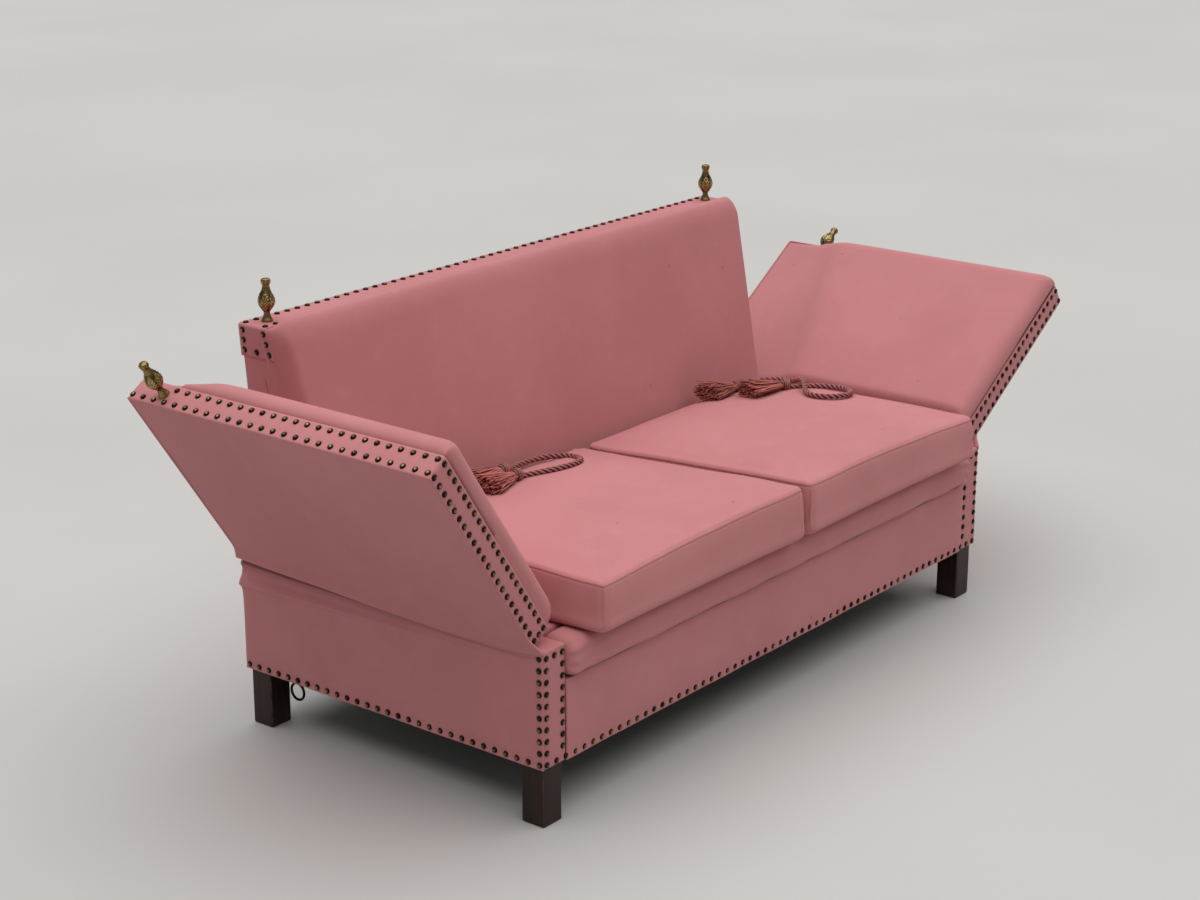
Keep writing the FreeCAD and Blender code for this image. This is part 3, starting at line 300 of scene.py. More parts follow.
def lay_weave(mesh):
    """A map in metres that lies flat on each face, along the two axes it faces least."""
    corners, faces = len(mesh.loops), len(mesh.polygons)
    normals, sizes, ends = np.empty(faces * 3), np.empty(faces, int), np.empty(corners, int)
    places = np.empty(len(mesh.vertices) * 3)
    mesh.polygons.foreach_get("normal", normals)
    mesh.polygons.foreach_get("loop_total", sizes)
    mesh.loops.foreach_get("vertex_index", ends)
    mesh.vertices.foreach_get("co", places)
    facing = np.repeat(np.argmax(np.abs(normals.reshape(-1, 3)), axis=1), sizes)
    places = places.reshape(-1, 3)[ends]
    first, second = np.array((1, 0, 0))[facing], np.array((2, 2, 1))[facing]
    rows = np.arange(corners)
    flat = np.stack([places[rows, first], places[rows, second]], axis=1)
    layer = mesh.uv_layers.new(name="UVMap")
    layer.data.foreach_set("uv", flat.astype(np.float32).ravel())


def make_piece(name, points, faces, material, attributes=()):
    """A smooth mesh object at the origin, with doubled points merged."""
    mesh = bpy.data.meshes.new(name)
    mesh.from_pydata([tuple(p) for p in points], [], faces)
    for attribute, values in dict(attributes).items():
        layer = mesh.attributes.new(attribute, "FLOAT", "POINT")
        layer.data.foreach_set("value", np.asarray(values, np.float32))
    work = bmesh.new()
    work.from_mesh(mesh)
    bmesh.ops.remove_doubles(work, verts=work.verts, dist=1e-6)
    bmesh.ops.dissolve_degenerate(work, edges=work.edges, dist=1e-7)
    work.to_mesh(mesh)
    work.free()
    mesh.polygons.foreach_set("use_smooth", [True] * len(mesh.polygons))
    mesh.materials.append(material)
    lay_weave(mesh)
    return shown(name, mesh)


def hand_over(piece, body, slot, *solids):
    """Say which body a piece rides on and which solids it replaces. The finish slot is not used."""
    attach(piece, body)
    if solids:
        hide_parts(*solids)


def leg_wood():
    look = new_look("dark_leg_wood", Coat_Weight=0.08, Coat_Roughness=0.3, Specular_IOR_Level=0.3)
    place = look.place()
    long_grain = look.add("Mapping", Vector=place, Scale=(60.0, 60.0, 5.0)).outputs[0]
    grain = look.noise(long_grain, 3.0, 6.0, 0.65)
    stain = look.mixed(look.ramp(grain, 0.35, 0.7), (0.0095, 0.0036, 0.0026, 1), (0.032, 0.0115, 0.007, 1))
    worn = look.reckon("ADD", look.noise(place, 55.0, 4.0), 0.35)
    patchy = look.reckon("MULTIPLY", look.marked("rubbed"), worn)
    colour = look.mixed(look.ramp(patchy, 0.42, 0.85), stain, (0.13, 0.062, 0.035, 1))
    return look.done(Base_Color=colour, Roughness=look.ramp(grain, 0.3, 0.7, 0.34, 0.5),
                     relief=(grain, 0.2, 0.0006))


leg_edge, leg_mesh, rubbed_width = 0.0032, 0.007, 0.0035
leg_waver, leg_wave = 0.006, 0.09
dark_wood = leg_wood()
for corner in ("front_left", "front_right", "rear_left", "rear_right"):
    low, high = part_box(corner + "_leg")
    points, faces = rounded_block(low, high, leg_edge, leg_mesh)
    middle, half = (np.array(low) + np.array(high)) / 2, (np.array(high) - np.array(low)) / 2
    inset = half - np.abs(points - middle)
    inset[:, 2] = points[:, 2] - low[2]
    rubbed = np.exp(-np.sort(inset, axis=1)[:, 1] / rubbed_width)
    points -= (points - middle) * [1, 1, 0] * leg_waver * (ripple(points, leg_wave, 5)[:, None] + 1)
    leg = make_piece(corner + "_wooden_leg", points, faces, dark_wood, {"rubbed": rubbed})
    hand_over(leg, "frame", "dark_leg_wood", corner + "_leg")

# Base covers: rose upholstery cloth over thin wadding, drawn tight over the apron and round the two front
# posts. Domed nails hold it along the lower edge and up both edges of each post.


def rose_cloth():
    """A plain-woven cotton and wool cloth: fine weave, soft nap, faint mottling, a few old specks, and shade
    painted into the side cloths' fold.
    """
    look = new_look("rose_cloth", Roughness=0.86, Sheen_Weight=0.16, Sheen_Roughness=0.45,
                    Sheen_Tint=(1.0, 0.80, 0.80, 1), Specular_IOR_Level=0.25)
    place, flat = look.place(), look.flat()
    weave = look.reckon("ADD", *(look.bands(way, flat, 230.0, 0.5) for way in "XY"))
    slub = look.noise(place, 850.0, 3.0, 0.7)
    colour = look.mixed(look.ramp(look.noise(place, 3.5, 5.0, 0.55), 0.3, 0.7),
                        (0.512, 0.187, 0.194, 1), (0.556, 0.210, 0.219, 1))
    mottle = look.ramp(look.noise(place, 26.0, 4.0), 0.5, 0.8, 0.0, 0.12)
    colour = look.mixed(mottle, colour, (0.62, 0.33, 0.33, 1))
    thread_shade = look.ramp(look.reckon("MULTIPLY", weave, slub), 0.2, 1.2, 0.0, 0.14)
    colour = look.mixed(thread_shade, colour, (0.66, 0.36, 0.365, 1))
    specks = look.add("TexVoronoi", Vector=place, Scale=22.0)
    chance = look.add("SeparateColor", Color=specks.outputs["Color"]).outputs[0]
    near = look.ramp(specks.outputs["Distance"], 0.03, 0.1, 0.5, 0.0)
    spot = look.reckon("MULTIPLY", near, look.reckon("GREATER_THAN", chance, 0.94))
    colour = look.mixed(spot, colour, (0.24, 0.09, 0.085, 1))
    # Painted shade: deep rose laid into the trough under the side cloths' fold lip, heavier towards the rear.
    colour = look.mixed(look.marked("crease"), colour, (0.26, 0.075, 0.075, 1))
    nap = look.reckon("ADD", look.reckon("MULTIPLY", weave, 0.5), slub)
    return look.done(Base_Color=colour, relief=(nap, 0.3, 0.0005))


def bronzed_nail():
    """Blackened bronze, its crowns rubbed back to brass."""
    look = new_look("bronze_nail", Metallic=1.0)
    by_chance = look.reckon("MULTIPLY", look.marked("number"), 0.22)
    blotch = look.reckon("MULTIPLY", look.noise(look.place(), 420.0, 4.0), 0.3)
    wear = look.reckon("ADD", look.reckon("ADD", look.marked("crown"), by_chance), blotch)
    rubbed = look.ramp(wear, 1.0, 1.32)
    return look.done(Base_Color=look.mixed(rubbed, (0.022, 0.017, 0.014, 1), (0.30, 0.20, 0.085, 1)),
                     Roughness=look.ramp(rubbed, 0.0, 1.0, 0.34, 0.27))


def grid_shell(outer, inner):
    """A closed sheet between two grids of points, the outer one facing outwards: its points and quads."""
    rows, columns = outer.shape[:2]
    count = rows * columns
    faces = []
    for i in range(rows - 1):
        for j in range(columns - 1):
            a = i * columns + j
            quad = [a, a + 1, a + columns + 1, a + columns]
            faces.append(quad)
            faces.append([count + b for b in reversed(quad)])
    rim = [(0, j) for j in range(columns)] + [(i, columns - 1) for i in range(1, rows)]
    rim += [(rows - 1, j) for j in range(columns - 2, -1, -1)] + [(i, 0) for i in range(rows - 2, 0, -1)]
    rim = [i * columns + j for i, j in rim]
    for a, b in zip(rim, rim[1:] + rim[:1]):
        faces.append([b, a, count + a, count + b])
    return np.concatenate([outer.reshape(-1, 3), inner.reshape(-1, 3)]), faces


def facing_of(grid):
    """The way each point of a grid faces."""
    return unit(np.cross(np.gradient(grid, axis=1), np.gradient(grid, axis=0)))


def sheet_of(outer, thickness):
    """A sheet of even thickness behind a grid of points."""
    return grid_shell(outer, outer - facing_of(outer) * thickness)


def joined(parts):
    """Several meshes as one."""
    points, faces, start = [], [], 0
    for part_points, part_faces in parts:
        points.append(part_points)
        faces += [[start + i for i in face] for face in part_faces]
        start += len(part_points)
    return np.concatenate(points), faces


def ring_faces(rings, sides):
    """Quads between rings of points that follow each other."""
    faces = []
    for start in range(0, (rings - 1) * sides, sides):
        for i in range(sides):
            j = (i + 1) % sides
            faces.append([start + i, start + j, start + sides + j, start + sides + i])
    return faces


def evenly(start, end, pitch):
    """Places from start to end, as close to the pitch as whole steps allow."""
    return np.linspace(start, end, max(1, round(abs(end - start) / pitch)) + 1)


def near_nails(points, nails, spread):
    """How strongly nails draw the cloth in at each point, from 0 to 1."""
    gap = np.stack([((points - place) ** 2).sum(axis=-1) for place, facing in nails]).min(axis=0)
    return np.exp(-gap / (2 * spread ** 2))


nail_width, nail_rise, nail_inset, nail_sunk = 0.0115, 0.004, 0.009, 0.0003


def dome_shape():
    """One domed nail head with a short wall, its crown marked from 0 at the rim to 1."""
    rings, sides = (0, 30, 58), 12
    points, crown = [], []
    for angle in rings:
        reach = nail_width / 2 * math.cos(math.radians(angle))
        height = math.sin(math.radians(angle))
        for turn in round_turns(sides):
            points.append((reach * math.cos(turn), reach * math.sin(turn), nail_rise * height))
            crown.append(height)
    points.append((0, 0, nail_rise))
    crown.append(1)
    faces = ring_faces(len(rings), sides)
    top = (len(rings) - 1) * sides
    faces += [[top + i, top + (i + 1) % sides, len(points) - 1] for i in range(sides)]
    faces.append(list(reversed(range(sides))))
    return make_piece("dome", points, faces, bronze, {"crown": crown})


def node_group(name, sockets, parts, links):
    """Geometry nodes from a group's own inputs, its nodes with their settings and fixed inputs, and its
    links. What the last node gives out is made one mesh and takes the material."""
    group = bpy.data.node_groups.new(name, "GeometryNodeTree")
    for socket, kind in {"Geometry": "Geometry", "Material": "Material", **sockets}.items():
        group.interface.new_socket(socket, in_out="INPUT", socket_type="NodeSocket" + kind)
    group.interface.new_socket("Geometry", in_out="OUTPUT", socket_type="NodeSocketGeometry")
    made = {"given": group.nodes.new("NodeGroupInput"), "result": group.nodes.new("NodeGroupOutput")}
    ending = {"real": ("GeometryNodeRealizeInstances", {}, {}),
              "coloured": ("GeometryNodeSetMaterial", {}, {})}
    for label, (kind, settings, fixed) in {**parts, **ending}.items():
        made[label] = group.nodes.new(kind)
        for setting, value in settings.items():
            setattr(made[label], setting, value)
        for socket, value in fixed.items():
            made[label].inputs[socket].default_value = value
    last_links = ((list(parts)[-1], 0, "real", 0), ("real", 0, "coloured", 0), ("coloured", 0, "result", 0),
                  ("given", "Material", "coloured", "Material"))
    for giver, output, taker, socket in links + last_links:
        group.links.new(made[giver].outputs[output], made[taker].inputs[socket])
    return group


def set_on_points():
    """Geometry nodes that set one shape on every point, turned to its facing, and number them by chance."""
    parts = {
        "shape": ("GeometryNodeObjectInfo", {}, {}),
        "facing": ("GeometryNodeInputNamedAttribute", {"data_type": "FLOAT_VECTOR"}, {"Name": "facing"}),
        "turned": ("FunctionNodeAlignRotationToVector", {"axis": "Z"}, {}),
        "chance": ("FunctionNodeRandomValue", {"data_type": "FLOAT"}, {}),
        "placed": ("GeometryNodeInstanceOnPoints", {}, {}),
        "numbered": ("GeometryNodeStoreNamedAttribute", {"data_type": "FLOAT", "domain": "INSTANCE"},
                     {"Name": "number"}),
    }
    links = (
        ("given", "Shape", "shape", "Object"),
        ("facing", "Attribute", "turned", "Vector"),
        ("given", "Geometry", "placed", "Points"),
        ("shape", "Geometry", "placed", "Instance"),
        ("turned", "Rotation", "placed", "Rotation"),
        ("given", "Seed", "chance", "Seed"),
        ("placed", "Instances", "numbered", "Geometry"),
        ("chance", 1, "numbered", "Value"),
    )
    return node_group("set_on_points", {"Shape": "Object", "Seed": "Int"}, parts, links)


def made_by_nodes(name, mesh, group, **inputs):
    """The plain mesh object that a group of geometry nodes makes of a mesh."""
    rough = shown(name + "_points", mesh)
    maker = rough.modifiers.new("maker", "NODES")
    maker.node_group = group
    for socket in group.interface.items_tree:
        if socket.in_out == "INPUT" and socket.name in inputs:
            maker[socket.identifier] = inputs[socket.name]
    ready = rough.evaluated_get(bpy.context.evaluated_depsgraph_get())
    made = shown(name, bpy.data.meshes.new_from_object(ready))
    bpy.data.objects.remove(rough)
    return made


def set_shapes(name, spots, shape, material, seed):
    """One shape set at each place, its own axis along each facing."""
    mesh = bpy.data.meshes.new(name + "_points")
    mesh.from_pydata([tuple(place) for place, facing in spots], [], [])
    layer = mesh.attributes.new("facing", "FLOAT_VECTOR", "POINT")
    layer.data.foreach_set("vector", np.array([facing for place, facing in spots], np.float32).ravel())
    made = made_by_nodes(name, mesh, point_setter, Shape=shape, Material=material, Seed=seed)
    made.data.polygons.foreach_set("use_smooth", [True] * len(made.data.polygons))
    return made


def set_nails(name, nails, body, node, seed):
    """One body's nail heads, sunk a little into the cloth."""
    sunk = [(Vector(place) - Vector(facing).normalized() * nail_sunk, facing) for place, facing in nails]
    hand_over(set_shapes(name, sunk, nail_dome, bronze, seed), body, "bronze_nail", node)


def upholstered(name, shape, body, solid):
    """A piece under rose cloth, from its points and faces."""
    piece = make_piece(name, *shape, rose)
    hand_over(piece, body, "rose_fabric", solid)
    return piece


rose = rose_cloth()
bronze = bronzed_nail()
nail_dome = dome_shape()
point_setter = set_on_points()
base_half, base_front, base_rear, cover = 0.720, -0.363, 0.363, 0.003
base_low, post_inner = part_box("front_cover")[0].z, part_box("right_front_post")[0].x
nail_row, post_top_nail, post_pitch, rail_pitch = base_low + nail_inset, 0.3165, 0.0225, 0.025
column = evenly(nail_row, post_top_nail, post_pitch)[1:]
front_row = evenly(nail_inset - base_half, base_half - nail_inset, rail_pitch)
side_row = evenly(base_front + nail_inset, base_rear - nail_inset, rail_pitch)
base_nails = [((x, base_front, nail_row), (0, -1, 0)) for x in front_row]
for side, name in SIDES:
    for x in (base_half - nail_inset, post_inner + nail_inset):
        base_nails += [((side * x, base_front, z), (0, -1, 0)) for z in column]
    base_nails.append(((side * (base_half + post_inner) / 2, base_front, post_top_nail), (0, -1, 0)))
    base_nails += [((side * base_half, base_front + nail_inset, z), (side, 0, 0)) for z in column]
    base_nails += [((side * base_half, y, nail_row), (side, 0, 0)) for y in side_row]

apron_edge, apron_mesh, apron_columns = 0.012, 0.007, 250
apron_swell, apron_waver, apron_wave, apron_draw, apron_draw_reach = 0.0022, 0.0010, 0.16, 0.0012, 0.006
low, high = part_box("front_cover")
x, z = np.meshgrid(np.linspace(low.x, high.x, apron_columns),
                   close_lines(low.z, high.z, apron_edge, apron_mesh))
outer = np.stack([x, np.full_like(x, low.y), z], axis=2)
outer[..., 1] -= apron_swell * np.sin(math.pi * (z - low.z) / (high.z - low.z)) ** 0.5
draw = apron_draw * near_nails(outer, base_nails, apron_draw_reach)
outer[..., 1] -= apron_waver * ripple(outer, apron_wave, 11) - draw
apron = upholstered("apron_cloth", sheet_of(outer, cover), "frame", "front_cover")

post_edge, post_mesh = 0.0045, 0.0045
post_waver, post_wave, post_draw, post_draw_reach = 0.0006, 0.05, 0.0009, 0.005
for side, name in SIDES:
    low, high = (Vector(corner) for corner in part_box(name + "_front_post"))
    (high if side == 1 else low).x -= side * cover
    points, faces = rounded_block(low, high, post_edge, post_mesh)
    middle = (np.array(low) + np.array(high)) / 2
    out = unit((points - middle) * [1, 1, 0])
    draw = post_draw * near_nails(points, base_nails, post_draw_reach)
    points += out * (post_waver * ripple(points, post_wave, 21) - draw)[:, None]
    upholstered(name + "_post_cover", (points, faces), "frame", name + "_front_post")

set_nails("base_nail_heads", base_nails, "frame", "base_nails", 1)

# Front border and seat deck: a stitched roll of hair under cloth along the front rail, gathered into small
# pleats where it meets the posts, and a padded deck behind it that the cushions rest on.

border_edge, border_mesh, border_hidden = 0.021, 0.006, 0.02
pleat_reach, pleat_depth, pleat_turns, pleat_lean = 0.045, 0.0028, 11, 40
front_waver, front_wave, top_waver, top_wave = 0.0014, 0.12, 0.0010, 0.14
low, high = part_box("front_border")
points, faces = rounded_block(low, high, border_edge, border_mesh)
from_post = high.x - np.abs(points[:, 0])
in_sight = points[:, 1] < high.y - border_hidden
round_turn = np.arctan2(points[:, 2] - (low.z + high.z) / 2, points[:, 1] - (low.y + high.y) / 2)
pleats = np.sin(round_turn * pleat_turns + from_post * pleat_lean) * np.exp(-from_post / pleat_reach)
points[:, 1] += (pleat_depth * pleats + front_waver * ripple(points, front_wave, 31)) * in_sight
points[:, 2] += top_waver * ripple(points, top_wave, 32)
border = upholstered("front_border_roll", (points, faces), "frame", "front_border")

low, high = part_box("seat_deck")
deck_front, deck_rear, deck_top, deck_fall = low.y, high.y, 0.334, 0.026
deck_edge, deck_mesh, deck_waver, deck_wave = 0.009, 0.016, 0.0008, 0.2


def deck_height(y):
    """The deck's top, which falls towards the rear."""
    return deck_top - deck_fall * (y - deck_front) / (deck_rear - deck_front)


points, faces = rounded_block(low, (high.x, high.y, deck_top), deck_edge, deck_mesh)
upper = points[:, 2] > (low.z + deck_top) / 2
sag = deck_waver * np.abs(ripple(points, deck_wave, 41))
points[:, 2] += (deck_height(points[:, 1]) - deck_top - sag) * upper
deck = upholstered("padded_seat_deck", (points, faces), "frame", "seat_deck")

# Back: a raked timber frame covered outside with cloth that runs down to the base's lower edge, padded
# inside with a firm hair pad, and closed along its top by a nailed strip that turns down at both ends.

back_low_z, back_top_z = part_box("back_pad")[0].z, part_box("back_border")[1].z
back_half_low, back_half_top = 0.663, 0.705
back_front_top, back_rear_top = 0.289, 0.357
back_slope = math.tan(math.radians(14))
pad_thick, pad_crown, pad_edge, pad_over_strip = 0.0371, 0.008, 0.036, 0.016
pad_side_edge, pad_wrap, pad_side_proud, roll_end = 0.024, 0.020, 0.0016, 0.034
pad_columns, pad_rows, pad_waver, pad_wave = 0.012, 0.010, 0.0016, 0.35


def back_share(z):
    """How far up the back a height is, from 0 to 1."""
    return (z - back_low_z) / (back_top_z - cover - back_low_z)


def back_half(z):
    """Half the back's width at a height."""
    return back_half_low + (back_half_top - back_half_low) * back_share(z)


def back_front(z):
    """The raked front of the back's frame at a height."""
    return back_front_top - (back_top_z - z) * back_slope


def back_rear(z):
    """The outside of the back at a height."""
    return base_rear + (back_rear_top - base_rear) * back_share(z)


def rounding(inset, edge, power=2.0):
    """How far a padded edge has risen, from 0 at the rim to 1. A higher power makes a squarer edge."""
    return np.clip(1 - (1 - np.clip(inset / edge, 0, 1)) ** power, 0, 1) ** (1 / power)


def hump(share, power=2.5):
    """1 in the middle, falling to 0 at shares 0 and 1."""
    return np.clip(1 - np.abs(2 * share - 1) ** power, 0, 1)


def smooth_share(value, low, high):
    """A smooth step from 0 at low to 1 at high."""
    share = np.clip((value - low) / (high - low), 0, 1)
    return share * share * (3 - 2 * share)


u, z = np.meshgrid(close_lines(-1, 1, pad_side_edge / back_half_top, pad_columns),
                   close_lines(back_low_z, back_top_z - cover, pad_edge, pad_rows))
x, y = u * back_half(z), back_front(z)
from_side, from_top = back_half(z) - np.abs(x), back_top_z - cover - z
edge_rise = rounding(from_side, pad_side_edge) * rounding(from_top, pad_edge, 2.6)
edge_rise = edge_rise * rounding(z - back_low_z, pad_edge)
wrap = (1 - np.clip(from_side / pad_side_edge, 0, 1)) ** 3
thick = pad_thick * edge_rise + pad_crown * hump((u + 1) / 2) * hump(back_share(z))
front = np.stack([x, y - thick, z], axis=2)
inner = smooth_share(from_side, 0.01, 0.12) * smooth_share(from_top, 0.01, 0.08)
front[..., 1] += pad_waver * ripple(front, pad_wave, 51) * inner
roll = np.sin(math.pi * np.clip(edge_rise, 0, 1)) ** 0.7 * (from_top < pad_edge)
front[..., 2] += (pad_over_strip + cover) * roll * smooth_share(from_side, 0.0, roll_end)
front[..., 0] += pad_side_proud * wrap * np.sign(u)
front[..., 1] += pad_wrap * wrap
rear_face = np.stack([x + pad_side_proud / 4 * wrap * np.sign(u), y + pad_wrap * wrap, z], axis=2)
back_pad = upholstered("inside_back_pad", grid_shell(front, rear_face), "frame", "back_pad")

seam_share, seam_gap, seam_depth, seam_top, corner_ease = 0.42, 0.0022, 0.0045, 0.09, 0.008
skirt_tuck, skirt_tuck_height, skirt_edge, skirt_mesh = 0.0022, 0.0035, 0.012, 0.010
rear_waver, rear_wave, skirt_waver, skirt_wave = 0.0012, 0.22, 0.0006, 0.2


def back_ring(z):
    """Points round the back's left side, rear and right side at one height, with a hand-sewn seam down each
    side that gapes a little between its stitches."""
    half, near, far, ease = back_half(z), back_front(z), back_rear(z), corner_ease
    seam = near + seam_share * (far - near)
    gape = seam_gap * (0.6 + 0.5 * math.sin(z * 95) * math.sin(z * 41))
    offsets = ((-4, 0.0), (-1.4, 0.0012), (-0.8, -0.5), (0, -1), (0.8, -0.5), (1.4, 0.0012), (4, 0.0))
    drawn = smooth_share(back_top_z - seam_top - z, 0, 0.03)
    sewn = [(-half - seam_depth * lift * drawn, seam + gape * step) for step, lift in offsets]
    left = [(-half, y) for y in np.linspace(near, seam - 4 * gape, 5)[:-1]] + sewn
    left += [(-half, y) for y in np.linspace(seam + 4 * gape, far - ease, 6)[1:]]
    turns = np.radians((22, 45, 68))
    left += [(-half + ease * (1 - math.cos(a)), far - ease + ease * math.sin(a)) for a in turns]
    ring = left + [(x, far) for x in np.linspace(ease - half, half - ease, 90)]
    return [(x, y, z) for x, y in ring + [(-x, y) for x, y in reversed(left)]]


outer = np.array([back_ring(z) for z in np.linspace(back_low_z, back_top_z - cover, 70)])[:, ::-1]
wide = np.abs(outer[..., 0]) < back_half_low - 0.02
above_seam = smooth_share(outer[..., 2] - back_low_z, 0.0, 0.05)
outer[..., 1] += rear_waver * ripple(outer, rear_wave, 61) * wide * above_seam
low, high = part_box("outside_back")
x, z = np.meshgrid(np.linspace(high.x, low.x, 100), close_lines(low.z, back_low_z, skirt_edge, skirt_mesh))
skirt = np.stack([x, np.full_like(x, high.y), z], axis=2)
skirt[..., 1] -= skirt_waver * (1 + ripple(skirt, skirt_wave, 62)) * smooth_share(back_low_z - z, 0.0, 0.03)
skirt[..., 1] -= skirt_tuck * np.exp((z - back_low_z) / skirt_tuck_height)
both_cloths = joined([sheet_of(outer, cover), sheet_of(skirt, cover)])
outside_back = upholstered("outside_back_cloth", both_cloths, "frame", "outside_back")

cap_drop, cap_step, strip_proud, strip_ease = 0.062, 0.019, 0.0010, 0.006
strip_past_rear, strip_short_of_front, strip_rows = 0.0008, 0.001, 16
top_pitch, top_row_half, nail_draw, nail_draw_reach = 0.026, 0.696, 0.0009, 0.005
back_nails = []
for y in (back_front_top + nail_inset, back_rear_top - nail_inset):
    back_nails += [((x, y, back_top_z), (0, 0, 1)) for x in evenly(-top_row_half, top_row_half, top_pitch)]
cap_rows = [back_top_z - nail_inset - nail_width / 4 - cap_step * step for step in range(3)]
for side, name in SIDES:
    out = (side, 0, (back_half_low - back_half_top) / (back_top_z - cover - back_low_z))
    for z in cap_rows:
        reach = side * (back_half(z) + strip_proud)
        back_nails += [((reach, y, z), out) for y in (back_front(z) + nail_inset, back_rear(z) - nail_inset)]
    back_nails.append(((reach, (back_front(z) + back_rear(z)) / 2, z), out))

up = [(-back_half(z) - strip_proud, z)
      for z in np.linspace(back_top_z - cap_drop, back_top_z - strip_ease, 14)]
up += [(strip_ease * (1 - math.cos(a)) - back_half_top - strip_proud,
        back_top_z - strip_ease * (1 - math.sin(a))) for a in np.radians((25, 50, 75))]
flat_end = back_half_top + strip_proud - strip_ease
along_top = [(x, back_top_z) for x in np.linspace(-flat_end, flat_end, 220)]
stations = up + along_top + [(-x, z) for x, z in reversed(up)]
outer = np.array([[(x, y, z) for y in np.linspace(back_rear(z) + strip_past_rear,
                                                  back_front(z) + strip_short_of_front, strip_rows)]
                  for x, z in stations])
outer = outer - facing_of(outer) * (nail_draw * near_nails(outer, back_nails, nail_draw_reach))[..., None]
top_strip = upholstered("back_top_strip", sheet_of(outer, cover), "frame", "back_border")

set_nails("back_nail_heads", back_nails, "frame", "back_nails", 2)

# Arms: a timber frame hinged along the base's side and swung outwards, padded inside, with a nailed strip of
# cloth round its front, top and rear edges, its outer edge turned over the outside cloth.

hinge_x, hinge_z = 0.714, 0.334
arm_tilt = {-1: math.radians(-34), 1: math.radians(57)}
arm_front, arm_rear, arm_bottom, arm_top = -0.343, base_rear, 0.338, 0.779
strip_inner, arm_wall = 0.673, 0.676
arm_pad_thick, arm_pad_crown, arm_pad_edge, arm_pad_rear_edge = 0.045, 0.005, 0.028, 0.004
taper_start, taper_ease, thin_share, pad_bulge = 0.028, 0.09, 0.22, 0.006
pad_gap = 0.014
pad_clear = pad_thick + pad_crown + pad_gap
fold_depth, fold_width, fold_reach = 0.0025, 0.0022, 0.034
arm_waver, arm_wave, strip_swell, inner_row_end = 0.0014, 0.3, 0.0006, 0.096
arm_top_pitch, arm_front_pitch = 0.026, 0.020


def tilted(points, side):
    """Points drawn on an upright arm, turned about the hinge to where the arm rests."""
    turn = arm_tilt[side]
    dx, dz = points[..., 0] - side * hinge_x, points[..., 2] - hinge_z
    moved = points.copy()
    moved[..., 0] = side * hinge_x + dx * math.cos(turn) + dz * math.sin(turn)
    moved[..., 2] = hinge_z - dx * math.sin(turn) + dz * math.cos(turn)
    return moved


def arm_pad_grids(side):
    """The pad's face over the arm's inside, thick in front of the back and thin beside it, and its flat
    rear."""
    pad_front, pad_top, pad_rear = arm_front + 2 * cover, arm_top - cover, arm_rear - cover
    y, z = np.meshgrid(close_lines(pad_front, pad_rear, arm_pad_edge, 0.009),
                       close_lines(arm_bottom, pad_top, arm_pad_edge, 0.010))
    stop = back_front(z) - pad_clear
    start = stop - taper_start
    beside = (taper_start + pad_clear) / (pad_rear - start)
    power = math.log(thin_share) / np.log(1 - beside)
    along = (y - start) / (pad_rear - start)
    along = np.clip((along + np.hypot(along, taper_ease)) / 2, 0, 1)
    full = cover + (arm_pad_thick - cover) * (1 - along) ** power
    rise = rounding(pad_top - z, arm_pad_edge, 2.8) * rounding(y - pad_front, arm_pad_edge, 2.8)
    rise = rise * rounding(z - arm_bottom, arm_pad_edge) * rounding(pad_rear - y, arm_pad_rear_edge)
    crown = arm_pad_crown * hump(np.clip((y - pad_front) / (stop - pad_front), 0, 1)) * hump(
        (z - arm_bottom) / (pad_top - arm_bottom))
    fold = np.exp(-((y - pad_front) - (pad_top - z)) ** 2 / (2 * fold_width ** 2))
    fold = fold * smooth_share(fold_reach - (y - pad_front), 0, 0.02)
    thick = (full + crown) * rise - fold_depth * fold * rise
    face = np.stack([side * (arm_wall - thick), y, z], axis=2)
    swell = np.sin(math.pi * np.clip(rise, 0, 1)) ** 0.7 * pad_bulge * (full > 0.02)
    face[..., 2] += swell * (pad_top - z < arm_pad_edge)
    face[..., 1] -= swell * (y - pad_front < arm_pad_edge)
    uneven = ripple(face, arm_wave, 71 + side) * smooth_share(pad_top - z, 0.01, 0.1) * (full > 0.03)
    face[..., 0] += side * arm_waver * uneven
    return face, np.stack([np.full_like(y, side * arm_wall), y, z], axis=2)


def arm_strip_grid(side, nails):
    """The strip from the arm's foot up its front, back along its top and down its rear, with its outer edge
    rolled over."""
    ease = 0.007
    corner = [(math.cos(a), math.sin(a)) for a in np.radians((20, 45, 70))]
    path = [(arm_front, z, -1, 0) for z in np.linspace(arm_bottom, arm_top - ease, 90)]
    path += [(arm_front + ease * (1 - c), arm_top - ease * (1 - s), -c, s) for c, s in corner]
    path += [(y, arm_top, 0, 1) for y in np.linspace(arm_front + ease, arm_rear - ease, 150)]
    path += [(arm_rear - ease * (1 - s), arm_top - ease * (1 - c), s, c) for c, s in corner]
    path += [(arm_rear, z, 1, 0) for z in np.linspace(arm_top - ease, arm_bottom, 60)]
    section = [(x, strip_swell * math.sin(math.pi * (x - strip_inner) / (base_half - strip_inner)))
               for x in np.linspace(strip_inner, base_half - 0.001, 14)]
    section += [(base_half + 0.0006, -0.0005), (base_half + 0.0013, -0.0018), (base_half + 0.0014, -0.0038),
                (base_half + 0.0008, -0.0055), (base_half - 0.0004, -0.0062)]
    grid = np.array([[(side * x, y + ny * h, z + nz * h) for x, h in section] for y, z, ny, nz in path])
    way = np.array([(0, ny, nz) for y, z, ny, nz in path])
    return grid - nail_draw * near_nails(grid, nails, nail_draw_reach)[..., None] * way[:, None]


